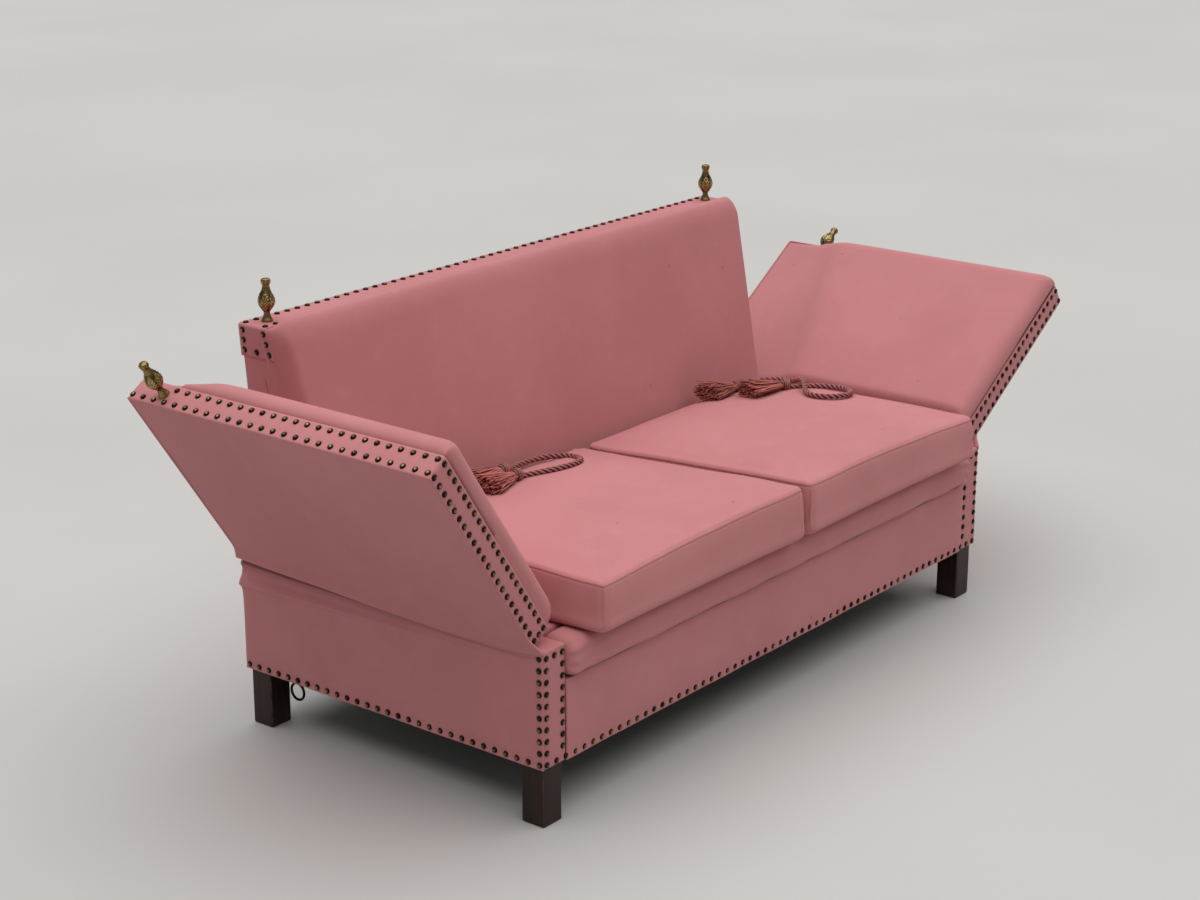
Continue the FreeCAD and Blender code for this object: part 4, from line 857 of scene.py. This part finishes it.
def arm_nails(side):
    """Two rows along the strip's top, two columns down its front and one nail that closes them."""
    outer_x, inner_x = base_half - nail_inset, strip_inner + nail_inset
    nails = []
    for x, rear in ((outer_x, arm_rear - nail_inset), (inner_x, arm_rear - inner_row_end)):
        nails += [((side * x, y, arm_top), (0, 0, 1))
                  for y in evenly(arm_front + nail_inset, rear, arm_top_pitch)]
        nails += [((side * x, arm_front, z), (0, -1, 0))
                  for z in evenly(arm_bottom + nail_inset, arm_top - nail_inset, arm_front_pitch)]
    nails.append(((side * (outer_x + inner_x) / 2, arm_front, arm_bottom + nail_inset), (0, -1, 0)))
    return nails


for side, name in SIDES:
    body = name + "_arm"
    face, wall = (tilted(grid, side)[:, ::-side] for grid in arm_pad_grids(side))
    pad = upholstered(name + "_arm_inside_pad", grid_shell(face, wall), body, name + "_arm_pad")
    nails = arm_nails(side)
    strip = tilted(arm_strip_grid(side, nails), side)[:, ::side]
    edge_strip = upholstered(name + "_arm_edge_strip", sheet_of(strip, cover), body, name + "_arm_border")
    hinge = [side * hinge_x, 0, hinge_z]
    places = tilted(np.array([place for place, facing in nails]), side)
    ways = tilted(np.array([facing for place, facing in nails]) + hinge, side) - hinge
    set_nails(name + "_arm_nail_heads", list(zip(places, ways)), body, name + "_arm_nails", 4 + side)

# Side cloths: one piece of cloth on each side, nailed along the base's lower edge and drawn up over the arm's
# outside. It is slack at the hinge, so it hangs in a fold over the base when the arm is down.


def through(knots, count):
    """Rows of points on smooth curves through rows of knots."""
    last = len(knots) - 1
    rows = []
    for t in np.linspace(0, last, count):
        i = min(int(t), last - 1)
        f = t - i
        a, b, c, d = (knots[min(max(k, 0), last)] for k in (i - 1, i, i + 1, i + 2))
        rows.append(0.5 * (2 * b + (c - a) * f + (2 * a - 5 * b + 4 * c - d) * f * f
                           + (3 * b - a - 3 * c + d) * f ** 3))
    return np.array(rows)


cloth_end, cloth_columns, cloth_rows = 0.0015, 110, 230
cloth_waver, cloth_wave, cloth_draw, cloth_draw_reach = 0.0009, 0.10, 0.0010, 0.006
lip_front, lip_climb, lip_flick, flick_reach = 0.312, 0.0235, 0.014, 0.045
ridge_front, ridge_fall, bend_low, bend_high = 0.300, 0.017, 0.300, 0.350


def side_cloth_grid(side):
    """The cloth from the base's lower edge over the fold and up the arm's outside, and the shade painted into
    the trough under the fold's lip.
    """
    turn = abs(arm_tilt[side])
    share = np.linspace(0, 1, cloth_columns)
    edge = base_front + cloth_end
    y = edge + share * (arm_rear - edge)
    rear = smooth_share(share, 0.05, 0.9)
    lip = lip_front + lip_climb * share + lip_flick * np.exp(-share / flick_reach)
    ridge = ridge_front - ridge_fall * share
    slack = 0.2 + 0.8 * smooth_share(share, 0.0, 0.5)

    def flat(out, z):
        return np.stack([base_half + out + 0 * y, y, z + 0 * y], axis=1)

    def between(f):
        return ridge + f * (lip - ridge)

    def on_arm(s, out=0.0):
        reach = base_half - hinge_x + out
        arm_y = arm_front + share * (arm_rear - arm_front)
        return np.stack([hinge_x + reach * math.cos(turn) + s * math.sin(turn) + 0 * y, arm_y,
                         hinge_z - reach * math.sin(turn) + s * math.cos(turn) + 0 * y], axis=1)

    base_rows = [flat(0.0, z) for z in np.linspace(base_low, 0.20, 9)]
    fold = [flat(0.0004, 0.23), flat(0.0015 * rear, 0.262), flat(0.0045 * rear, ridge - 0.008),
            flat(0.0100 * rear, ridge), flat(0.0070 * rear, between(0.16)),
            flat(0.0014 * rear, between(0.36)), flat(0.0003, between(0.58)),
            flat(0.0040 * rear ** 2, between(0.74)), flat(0.0008, between(0.86)),
            flat(0.0080 * slack, lip - 0.0022), flat(0.0140 * slack, lip), flat(0.0155 * slack, lip + 0.005)]
    start = [on_arm(0.032, 0.0022), on_arm(0.050, 0.0008)]
    arm_rows = [on_arm(s) for s in np.linspace(0.075, arm_top - cover - hinge_z, 22)]
    grid = through(np.array(base_rows + fold + start + arm_rows), cloth_rows)
    grid[..., 0] *= side
    grid[..., 0] += side * cloth_waver * ripple(grid * [1, 0.35, 1], cloth_wave, 81)
    side_nails = [nail for nail in base_nails if nail[1][0] == side]
    grid[..., 0] -= side * cloth_draw * near_nails(grid, side_nails, cloth_draw_reach)
    # Painted shade for the trough under the lip, where the lip shades the cloth: strongest just below the lip
    # and at the rear.
    up_fold = (grid[..., 2] - ridge) / (lip - ridge)
    crease = smooth_share(up_fold, 0.32, 0.85) * smooth_share(1.0 - up_fold, 0.0, 0.06)
    return grid, 0.6 * crease * (0.3 + 0.7 * rear)


for side, name in SIDES:
    outer, crease = side_cloth_grid(side)
    # Each cloth carries its painted fold shade as a point attribute, which the rose cloth's colour reads.
    crease = np.tile(crease[:, ::side].ravel(), 2)
    cloth = make_piece(name + "_side_cloth", *sheet_of(outer[:, ::side], cover), rose, {"crease": crease})
    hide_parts(name + "_side_cover", name + "_arm_outer_cover")
    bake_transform(cloth)

# Finials: four cast brass knobs, screwed down into the back's ends and the arms' tops, with a flared foot, a
# leafy bulb and a fluted head. The metal is dark with age and bright where it is handled.

finial_profile = ((0.0, 0.0), (0.0100, 0.0), (0.0105, 0.0014), (0.0103, 0.0030), (0.0092, 0.0052),
                  (0.0076, 0.0085), (0.0063, 0.0125), (0.0060, 0.0165), (0.0070, 0.0205), (0.0094, 0.0245),
                  (0.0122, 0.0285),
                  (0.0140, 0.0325), (0.0147, 0.0365), (0.0146, 0.0400), (0.0137, 0.0440), (0.0120, 0.0485),
                  (0.0100, 0.0535), (0.0083, 0.0585), (0.0071, 0.0630), (0.0066, 0.0660), (0.0070, 0.0685),
                  (0.0081, 0.0712), (0.0086, 0.0740), (0.0081, 0.0768), (0.0062, 0.0790), (0.0, 0.0800))
leaf_count, leaf_low, leaf_high, leaf_rise = 5, 0.0185, 0.0570, 0.0014
head_low, head_full, head_top, flute_count, flute_share = 0.064, 0.069, 0.080, 8, 0.05
back_knob_x, arm_knob_y, knob_spin = 0.667, 0.287, math.radians(40)


def aged_brass():
    look = new_look("finial_brass", Metallic=1.0)
    place = look.place()
    blotch = look.reckon("MULTIPLY", look.noise(place, 160.0, 5.0), 0.7)
    worn = look.reckon("ADD", look.marked("proud"), blotch)
    colour = look.mixed(look.ramp(worn, 0.35, 0.75), (0.026, 0.018, 0.009, 1), (0.26, 0.18, 0.068, 1))
    colour = look.mixed(look.ramp(worn, 0.85, 1.35), colour, (0.62, 0.47, 0.20, 1))
    return look.done(Base_Color=colour, Roughness=look.ramp(worn, 0.4, 1.2, 0.44, 0.20),
                     relief=(look.noise(place, 900.0, 3.0), 0.2, 0.0004))


def finial_shape():
    """The turned form with its leaves raised on the bulb, and how proud each point stands."""
    sides, rows = 80, 150
    line = through(np.array(finial_profile), rows)
    turn = round_turns(sides)
    radius, height = np.maximum(line[:, :1], 0), line[:, 1:]
    share = np.clip((height - leaf_low) / (leaf_high - leaf_low), 0, 1)
    phase = (turn * leaf_count / (2 * math.pi) + 0.06 * np.sin(share * 5)) % 1 - 0.5
    half_width = 0.47 * np.sin(math.pi * share ** 0.75) ** 0.6 * (1 + 0.12 * np.sin(share * 42))
    inside = smooth_share(half_width - np.abs(phase), 0.0, 0.07) * (share * (1 - share) > 0)
    rib = np.exp(-(phase / 0.045) ** 2)
    scroll = np.sin(2 * math.pi * (share * 5.5 - np.abs(phase) * 3.2))
    relief = inside * (0.65 - 0.45 * rib + 0.35 * scroll * (1 - rib))
    on_head = smooth_share(height, head_low, head_full) * smooth_share(head_top - height, 0, 0.004)
    flutes = flute_share * np.cos(turn * flute_count) * on_head
    radius = radius * (1 + flutes) + leaf_rise * relief * np.clip(radius / 0.008, 0, 1)
    points = np.stack([radius * np.cos(turn), radius * np.sin(turn), height + 0 * turn], axis=2)
    proud = np.where(share * (1 - share) > 0, 0.15 + 0.75 * relief, 0.45 + 4 * flutes)
    return points.reshape(-1, 3), ring_faces(rows, sides), proud.ravel()


brass = aged_brass()
points, faces, proud = finial_shape()
for side, name in SIDES:
    c, s = math.cos(side * knob_spin), math.sin(side * knob_spin)
    turned = points @ np.array(((c, s, 0), (-s, c, 0), (0, 0, 1)))
    back_place = turned + [side * back_knob_x, (back_front_top + back_rear_top) / 2, back_top_z]
    arm_place = tilted(turned + [side * (strip_inner + base_half) / 2, arm_knob_y, arm_top], side)
    for mount, place, body in (("back", back_place, "frame"), ("arm", arm_place, name + "_arm")):
        finial = make_piece(f"{name}_{mount}_brass_knob", place, faces, brass, {"proud": proud})
        hand_over(finial, body, "finial_brass", f"{name}_{mount}_finial")

# Seat cushions: two loose foam and feather box cushions, crowned on top, with a top-stitched seam round the
# upper edge and rounded corners. They lie side by side on the deck, a little over the front.

seat_height, seat_crown, front_belly, side_belly = 0.104, 0.022, 0.006, 0.003
corner_round, top_round, bottom_round, seam_drop = 0.022, 0.007, 0.014, 0.0085
inner_rise, outer_drop, front_bow, lean_room, deck_gap = 0.003, 0.011, 0.005, 0.029, 0.0004
rim_width, seam_width, seam_draw, side_crown = 0.02, 0.0011, 0.0014, 0.15
cushion_mesh, cushion_waver, cushion_wave = 0.0105, 0.0011, 0.22
fill_cap, fill_rise, fill_pressure, fill_frames, held_height = 0.007, 0.0065, 4, 20, 0.02
stitch_pitch, stitch_length, stitch_radius, stitch_ahead = 0.0052, 0.0036, 0.00045, 0.001


def cushion_form(low, high):
    """A box cushion on a flat deck: its points and quads, and for each point its shares across, deep and up,
    the way out of its nearest side and how far in from that side it lies."""
    lower = [0, 0.001, 0.003, 0.0065, 0.0105, 0.014]
    drops = (0.0115, 0.0098, 0.0085, 0.0072, 0.0055, 0.0040, 0.0022, 0.0009, 0)
    upper = [seat_height - drop for drop in drops]
    heights = lower + list(np.linspace(0.023, 0.085, 7)) + upper
    level = [close_lines(low[axis], high[axis], corner_round, cushion_mesh) for axis in (0, 1)]
    points, faces = block_lattice([*level, np.array(heights)])
    shares = (points - [low[0], low[1], 0]) / [high[0] - low[0], high[1] - low[1], seat_height]
    core = np.clip(points[:, :2], np.array(low) + corner_round, np.array(high) - corner_round)
    out = (points[:, :2] - core) / corner_round
    out = out * np.sqrt(1 - out[:, ::-1] ** 2 / 2)
    reach = np.linalg.norm(out, axis=1)
    way = out / np.maximum(reach, 1e-9)[:, None]
    inset, height = corner_round * (1 - reach), points[:, 2]
    edge = np.where(shares[:, 2] > 0.5, top_round, bottom_round)
    middle = np.clip(height, bottom_round, seat_height - top_round)
    centre = np.stack([np.maximum(inset, edge), middle], axis=1)
    swing = np.stack([inset, height], axis=1) - centre
    swing *= (edge / np.maximum(np.linalg.norm(swing, axis=1), 1e-9))[:, None]
    inset, height = (centre + swing).T
    return np.column_stack([core + way * (corner_round - inset)[:, None], height]), faces, shares, way, inset


def crowned(height, u, v):
    """The crown of a cushion of that full height, at shares across and deep."""
    return height * (side_crown + (1 - side_crown) * hump(u)) * hump(v)


def set_cushion(low, high, side):
    """The cushion as it lies: crowned, swollen at its sides, drawn in along its seam, leaning at the rear."""
    flat_low = (low.x + side_belly, low.y + front_belly)
    flat_high = (high.x - side_belly, high.y - lean_room - side_belly)
    points, faces, shares, way, inset = cushion_form(flat_low, flat_high)
    u, v, w = shares.T
    rim = np.clip(1 - inset / rim_width, 0, 1)
    groove = np.exp(-((points[:, 2] - (seat_height - seam_drop)) / seam_width) ** 2)
    belly = np.where(way[:, 1] < -0.7, front_belly, side_belly)
    points[:, :2] += way * (rim * (belly * hump(w, 2.0) - seam_draw * groove))[:, None]
    outwards = u if side == 1 else 1 - u
    points[:, 2] += (inner_rise - (inner_rise + outer_drop) * outwards ** 2) * w * np.clip(1 - v, 0, 1) ** 2
    lean = (points[:, 2] * back_slope + 0.001) * v ** 2
    points[:, 1] += front_bow * hump(u) * np.clip(1 - 3 * v, 0, 1) + lean
    start_crown = seat_crown - fill_rise
    points[:, 2] += crowned(start_crown, u, v) * np.clip(w, 0, 1) + deck_height(points[:, 1]) + deck_gap
    points[:, 2] += cushion_waver * ripple(points, cushion_wave, 91 + side) * np.clip(w, 0, 1)
    return points, faces, np.flatnonzero(np.abs(w * seat_height - (seat_height - seam_drop)) < 1e-6)


def filled(cushion):
    """Swell a closed cover as its filling does: cloth under pressure, held where it lies on the deck, with no
    point moving farther than the cap."""
    mesh = cushion.data
    start = np.array([v.co for v in mesh.vertices])
    held = cushion.vertex_groups.new(name="held")
    low = start[:, 2] < deck_height(start[:, 1]) + held_height
    held.add([int(i) for i in np.flatnonzero(low)], 1.0, "REPLACE")
    cloth = cushion.modifiers.new("filling", "CLOTH")
    cloth.settings.quality = 6
    cloth.settings.vertex_group_mass = "held"
    cloth.settings.use_pressure = True
    cloth.settings.uniform_pressure_force = fill_pressure
    cloth.settings.effector_weights.gravity = 0
    cloth.point_cache.frame_start, cloth.point_cache.frame_end = 1, fill_frames
    for number in range(1, fill_frames + 1):
        bpy.context.scene.frame_set(number)
    ready = cushion.evaluated_get(bpy.context.evaluated_depsgraph_get())
    moved = np.array([v.co for v in ready.data.vertices]) - start
    reach = np.maximum(np.linalg.norm(moved, axis=1, keepdims=True), 1e-9)
    moved *= fill_cap * (1 - np.exp(-reach / fill_cap)) / reach
    cushion.modifiers.remove(cloth)
    cushion.vertex_groups.remove(held)
    bpy.context.scene.frame_set(1)
    mesh.vertices.foreach_set("co", (start + moved).ravel())
    mesh.update()


def far_along(line):
    """How far along a line each of its points lies."""
    return np.concatenate([[0], np.cumsum(np.linalg.norm(np.diff(line, axis=0), axis=1))])


def places_on(line, spots):
    """Places on a line, each at its distance along it."""
    far = far_along(line)
    return np.stack([np.interp(spots, far, line[:, k]) for k in range(3)], axis=1)


def seam_stitches(cushion, seam):
    """Stitches along the seam, each at its place and lying along it."""
    ring = np.array([cushion.data.vertices[int(i)].co for i in seam])
    middle = ring.mean(axis=0)
    ring = ring[np.argsort(np.arctan2(ring[:, 1] - middle[1], ring[:, 0] - middle[0]))]
    closed = np.concatenate([ring, ring[:1]])
    spots = evenly(0, far_along(closed)[-1], stitch_pitch)[:-1]
    places = places_on(closed, spots)
    return list(zip(places, places_on(closed, spots + stitch_ahead) - places))


def stitch_shape():
    """One stitch: a short thread with rounded ends, lying along its own axis."""
    sides, rings = 6, ((-0.42, 0.75), (-0.2, 1), (0.2, 1), (0.42, 0.75))
    points = [(0, 0, -stitch_length / 2)]
    for height, width in rings:
        reach = stitch_radius * width
        points += [(reach * math.cos(a), reach * math.sin(a), stitch_length * height)
                   for a in round_turns(sides)]
    last = len(points)
    points.append((0, 0, stitch_length / 2))
    faces = [[1 + i for i in quad] for quad in ring_faces(len(rings), sides)]
    for j in range(sides):
        k = (j + 1) % sides
        faces += [[0, 1 + k, 1 + j], [last - sides + j, last - sides + k, last]]
    return make_piece("stitch", points, faces, sewing_thread)


def rose_thread():
    """Polished sewing thread, each stitch a shade lighter or darker than the next."""
    look = new_look("rose_thread", Roughness=0.5)
    shades = (0.42, 0.15, 0.16, 1), (0.60, 0.28, 0.29, 1)
    return look.done(Base_Color=look.mixed(look.marked("number"), *shades))


sewing_thread = rose_thread()
stitch = stitch_shape()
for side, name in SIDES:
    low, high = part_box(name + "_seat_cushion")
    points, faces, seam = set_cushion(low, high, side)
    cushion = make_piece(name + "_box_cushion", points, faces, rose)
    filled(cushion)
    sewn = seam_stitches(cushion, seam)
    stitches = set_shapes(name + "_cushion_stitches", sewn, stitch, sewing_thread, 8 + side)
    hand_over(stitches, name + "_cushion", "rose_fabric")
    hand_over(cushion, name + "_cushion", "rose_fabric", name + "_seat_cushion")

# Ropes: two loose three-strand twisted cords of mauve rayon, each with a wound knot and a thread tassel at
# both ends. They lie in loops on the cushions.

rope_diameter, rope_lay, strand_sides, strand_step = 0.012, 0.036, 12, 0.0018
routes = {
    "left": ((-0.286, 0.058, 0.4388), (-0.258, 0.048, 0.440), (-0.226, 0.028, 0.4431),
             (-0.188, 0.017, 0.4439), (-0.150, 0.018, 0.4422), (-0.120, 0.040, 0.4378),
             (-0.108, 0.075, 0.4325), (-0.119, 0.110, 0.4276), (-0.150, 0.131, 0.4246),
             (-0.190, 0.135, 0.4243), (-0.228, 0.128, 0.4259), (-0.256, 0.118, 0.4276)),
    "right": ((0.522, -0.006, 0.4413), (0.548, -0.022, 0.4405), (0.574, -0.047, 0.4401),
              (0.588, -0.083, 0.4411), (0.580, -0.122, 0.4442), (0.551, -0.150, 0.4487),
              (0.513, -0.158, 0.4529), (0.480, -0.139, 0.4545), (0.472, -0.102, 0.4527),
              (0.494, -0.070, 0.4494), (0.526, -0.046, 0.4591), (0.566, -0.012, 0.4528),
              (0.592, 0.024, 0.4331), (0.594, 0.065, 0.4296), (0.570, 0.098, 0.4274),
              (0.531, 0.111, 0.427), (0.496, 0.102, 0.4292), (0.478, 0.092, 0.431)),
}
groove_share = 0.62


def twisted_rope():
    """Rayon yarns that wind along each strand, with shade painted dark into the grooves between the strands.
    """
    look = new_look("mauve_rope", Roughness=0.6, Sheen_Weight=0.05, Sheen_Roughness=0.35,
                    Sheen_Tint=(1.0, 0.7, 0.68, 1), Specular_IOR_Level=0.35)
    yarns = look.bands("DIAGONAL", look.flat(), 0.95, 0.3)
    fibre = look.noise(look.place(), 700.0)
    colour = look.mixed(yarns, (0.20, 0.047, 0.046, 1), (0.47, 0.168, 0.162, 1))
    colour = look.mixed(look.ramp(fibre, 0.45, 0.75, 0.0, 0.55), colour, (0.64, 0.34, 0.315, 1))
    # Painted shade: near-black in the grooves between strands and between the knot's turns, fading out
    # towards each crest.
    colour = look.mixed(look.ramp(look.marked("crest"), 0.30, 0.85), (0.045, 0.006, 0.006, 1), colour)
    return look.done(Base_Color=colour, relief=(look.reckon("ADD", yarns, fibre), 0.5, 0.0008))


def route_line(name, points):
    """Even points along the smooth line of a route."""
    curve = bpy.data.curves.new(name, "CURVE")
    curve.dimensions = "3D"
    spline = curve.splines.new("NURBS")
    spline.points.add(len(points) - 1)
    for point, place in zip(spline.points, points):
        point.co = (*place, 1)
    spline.order_u = 3
    spline.use_endpoint_u = True
    spline.resolution_u = 24
    line = shown(name, curve)
    mesh = bpy.data.meshes.new_from_object(line.evaluated_get(bpy.context.evaluated_depsgraph_get()))
    places = np.array([v.co for v in mesh.vertices])
    bpy.data.objects.remove(line)
    bpy.data.meshes.remove(mesh)
    length = far_along(places)[-1]
    return places_on(places, np.linspace(0, length, round(length / strand_step)))


def rings_along(path, sides):
    """Unit rings square to a line, turning with it as little as they can."""
    way = unit(np.gradient(path, axis=0))
    out = np.cross(way[0], (0.13, 0.27, 1))
    rings = []
    for tangent in way:
        out = unit(out - tangent * (out @ tangent))
        over = np.cross(tangent, out)
        rings.append([math.cos(a) * out + math.sin(a) * over
                      for a in round_turns(sides)])
    return np.array(rings)


def tube(path, radius, sides):
    """A closed round tube along a line."""
    points = (path[:, None] + rings_along(path, sides) * radius).reshape(-1, 3)
    ends = [list(reversed(range(sides))), list(range(len(points) - sides, len(points)))]
    return points, ring_faces(len(path), sides) + ends


def wrap_map(obj, sides, step):
    """A map of a piece made of tubes, along each tube in centimetres and six times round it."""
    layer = obj.data.uv_layers["UVMap"].data
    for face in obj.data.polygons:
        first = face.vertices[0]
        for corner, (along, round_it) in zip(face.loop_indices, ((0, 0), (0, 1), (1, 1), (1, 0))):
            far, turned = first // sides + along, first % sides + round_it
            layer[corner].uv = (far * step * 100, turned / sides * 6)


def rope_strands(path, strands=3):
    """Strands laid round the rope's line, each a tube that turns with it."""
    strand = rope_diameter / 2 / (1 + 2 / math.sqrt(3))
    offset = rope_diameter / 2 - strand
    rings = rings_along(path, 4)
    parts, unshaded_crests = [], []
    for number in range(strands):
        angle = 2 * math.pi * (np.arange(len(path)) * strand_step / rope_lay + number / strands)
        out = np.cos(angle)[:, None] * rings[:, 0] + np.sin(angle)[:, None] * rings[:, 1]
        points, faces = tube(path + offset * out, strand, strand_sides)
        parts.append((points, faces))
        reach = np.linalg.norm(points.reshape(len(path), strand_sides, 3) - path[:, None], axis=2).ravel()
        # How far each point stands out from the rope's middle: 0 in the grooves, where the rope's material
        # paints shade, up to 1 on the crests.
        unshaded_crests.append(np.clip((reach / (rope_diameter / 2) - groove_share) / (1 - groove_share), 0, 1))
    return *joined(parts), np.concatenate(unshaded_crests)


mauve = twisted_rope()
ropes = {}
for side, name in SIDES:
    path = route_line(name + "_route", routes[name])
    points, faces, crest = rope_strands(path)
    rope = make_piece(name + "_twisted_rope", points, faces, mauve, {"crest": crest})
    wrap_map(rope, strand_sides, strand_step)
    hand_over(rope, name + "_cushion", "mauve_rope", name + "_rope")
    ropes[name] = rope, path

# Tassels: a knot wound with the rope's own yarn, and under it a skirt of cut salmon threads, flattened where
# it lies on the cushion.

knot_diameter, yarn_radius, knot_step, knot_groove, knot_turns = 0.026, 0.0031, 0.0027, 0.64, 5
skirt_length, skirt_start, skirt_neck, skirt_spread, skirt_rise = 0.095, 0.007, 0.0065, 0.030, 0.012
thread_radius, thread_count, thread_stray, thread_wave, thread_gap = 0.00115, 230, 0.003, 0.0012, 0.0006
tassels = {
    "left": (((-0.296, 0.054, 0.4462), (-1, -0.05, 0.044)), ((-0.266, 0.114, 0.4357), (-1, -0.03, 0.054))),
    "right": (((0.514, -0.002, 0.4488), (-0.93, 0.3, 0.04)), ((0.469, 0.088, 0.4391), (-0.97, 0.1, 0.04))),
}


def salmon_thread():
    look = new_look("salmon_thread", Roughness=0.7, Sheen_Weight=0.08, Sheen_Tint=(1.0, 0.65, 0.6, 1),
                    Specular_IOR_Level=0.3)
    fibre = look.noise(look.place(), 500.0)
    colour = look.mixed(look.marked("number"), (0.14, 0.024, 0.019, 1), (0.56, 0.165, 0.136, 1))
    colour = look.mixed(look.ramp(fibre, 0.45, 0.8, 0.0, 0.45), colour, (0.68, 0.29, 0.25, 1))
    return look.done(Base_Color=colour, relief=(fibre, 0.4, 0.0005))


def threads_from_lines():
    """Geometry nodes that turn every line of a mesh into a round thread."""
    parts = {
        "lines": ("GeometryNodeMeshToCurve", {}, {}),
        "ring": ("GeometryNodeCurvePrimitiveCircle", {}, {"Resolution": 5}),
        "threads": ("GeometryNodeCurveToMesh", {}, {"Fill Caps": True}),
    }
    links = (
        ("given", "Geometry", "lines", "Mesh"),
        ("given", "Radius", "ring", "Radius"),
        ("lines", "Curve", "threads", "Curve"),
        ("ring", "Curve", "threads", "Profile Curve"),
    )
    return node_group("threads_from_lines", {"Radius": "Float"}, parts, links)


def square_to(way):
    """Two unit ways square to a way, the first level."""
    level = unit(np.cross(way, (0, 0, 1)))
    return level, np.cross(level, way)


def wound_knot(head, way):
    """Yarn wound round the knot, fuller in the middle."""
    level, over = square_to(way)
    share = np.linspace(0, 1, 120)
    angle = 2 * math.pi * knot_turns * share
    radius = (knot_diameter / 2 - yarn_radius) * np.sin(math.pi * (0.12 + 0.76 * share)) ** 0.6
    along = knot_diameter * 0.42 * (2 * share - 1)
    out = np.cos(angle)[:, None] * level + np.sin(angle)[:, None] * over
    path = head + along[:, None] * way + radius[:, None] * out
    points, faces = tube(path, yarn_radius, strand_sides)
    proud = ((points.reshape(len(path), strand_sides, 3) - path[:, None]) * out[:, None]).sum(axis=2).ravel()
    # How proud each point stands on its turn of yarn, which sets the shade painted into the knot's grooves.
    return points, faces, np.clip((proud / yarn_radius - knot_groove) / (1 - knot_groove), 0, 1)


def skirt_lines(head, way, seed, rest):
    """Lines of threads that leave the knot together, spread and come to lie on the cushion."""
    chance = np.random.default_rng(seed)
    level, over = square_to(way)
    steps = 12
    share = np.linspace(0, 1, steps)
    open_width = skirt_neck + skirt_spread * share ** 0.8
    open_height = skirt_neck + skirt_rise * share ** 0.7
    points, edges, numbers = [], [], []
    for _ in range(thread_count):
        angle, spread = chance.uniform(0, 2 * math.pi), math.sqrt(chance.uniform(0, 1))
        length = skirt_length * chance.uniform(0.86, 1.04)
        stray = chance.normal(size=2) * thread_stray
        wave = thread_wave * np.sin(share * chance.uniform(4, 9) + chance.uniform(0, 6))
        aside = open_width * spread * math.cos(angle) + stray[0] * share ** 2 + wave
        above = open_height * spread * math.sin(angle) + stray[1] * share ** 2 + wave * 0.6
        line = head + (skirt_start + share * length)[:, None] * way
        line = line + aside[:, None] * level + above[:, None] * over
        line[:, 2] = np.maximum(line[:, 2], rest(line) + thread_radius)
        start = len(points)
        points += line.tolist()
        edges += [(start + i, start + i + 1) for i in range(steps - 1)]
        numbers += [chance.uniform(0, 1)] * steps
    return points, edges, numbers


def cushion_top(name):
    """The height of a cushion's top under any place, from its drawn form."""
    low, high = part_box(name + "_seat_cushion")

    def rest(places):
        u = np.clip((places[:, 0] - low.x) / (high.x - low.x), 0, 1)
        v = np.clip((places[:, 1] - low.y) / (high.y - lean_room - low.y), 0, 1)
        return seat_height + crowned(seat_crown, u, v) + deck_height(places[:, 1]) + thread_gap

    return rest


salmon = salmon_thread()
thread_maker = threads_from_lines()
for side, name in SIDES:
    knots, unshaded_crests, lines, edges, numbers = [], [], [], [], []
    for count, (head, way) in enumerate(tassels[name]):
        head, way = np.array(head), unit(np.array(way))
        points, faces, crest = wound_knot(head, way)
        knots.append((points, faces))
        unshaded_crests.append(crest)
        points, pairs, shades = skirt_lines(head, way, 200 + 10 * side + count, cushion_top(name))
        edges += [(a + len(lines), b + len(lines)) for a, b in pairs]
        lines += points
        numbers += shades
    knot = make_piece(name + "_wound_knots", *joined(knots), mauve, {"crest": np.concatenate(unshaded_crests)})
    wrap_map(knot, strand_sides, knot_step)
    hand_over(knot, name + "_cushion", "mauve_rope")
    mesh = bpy.data.meshes.new(name + "_skirt_lines")
    mesh.from_pydata(lines, edges, [])
    mesh.attributes.new("number", "FLOAT", "POINT").data.foreach_set("value", np.array(numbers, np.float32))
    skirts = made_by_nodes(name + "_tassel_skirts", mesh, thread_maker, Radius=thread_radius,
                           Material=salmon)
    hand_over(skirts, name + "_cushion", "salmon_thread", name + "_tassels")
    rope, path = ropes[name]

bpy.data.objects.remove(nail_dome)
bpy.data.objects.remove(stitch)
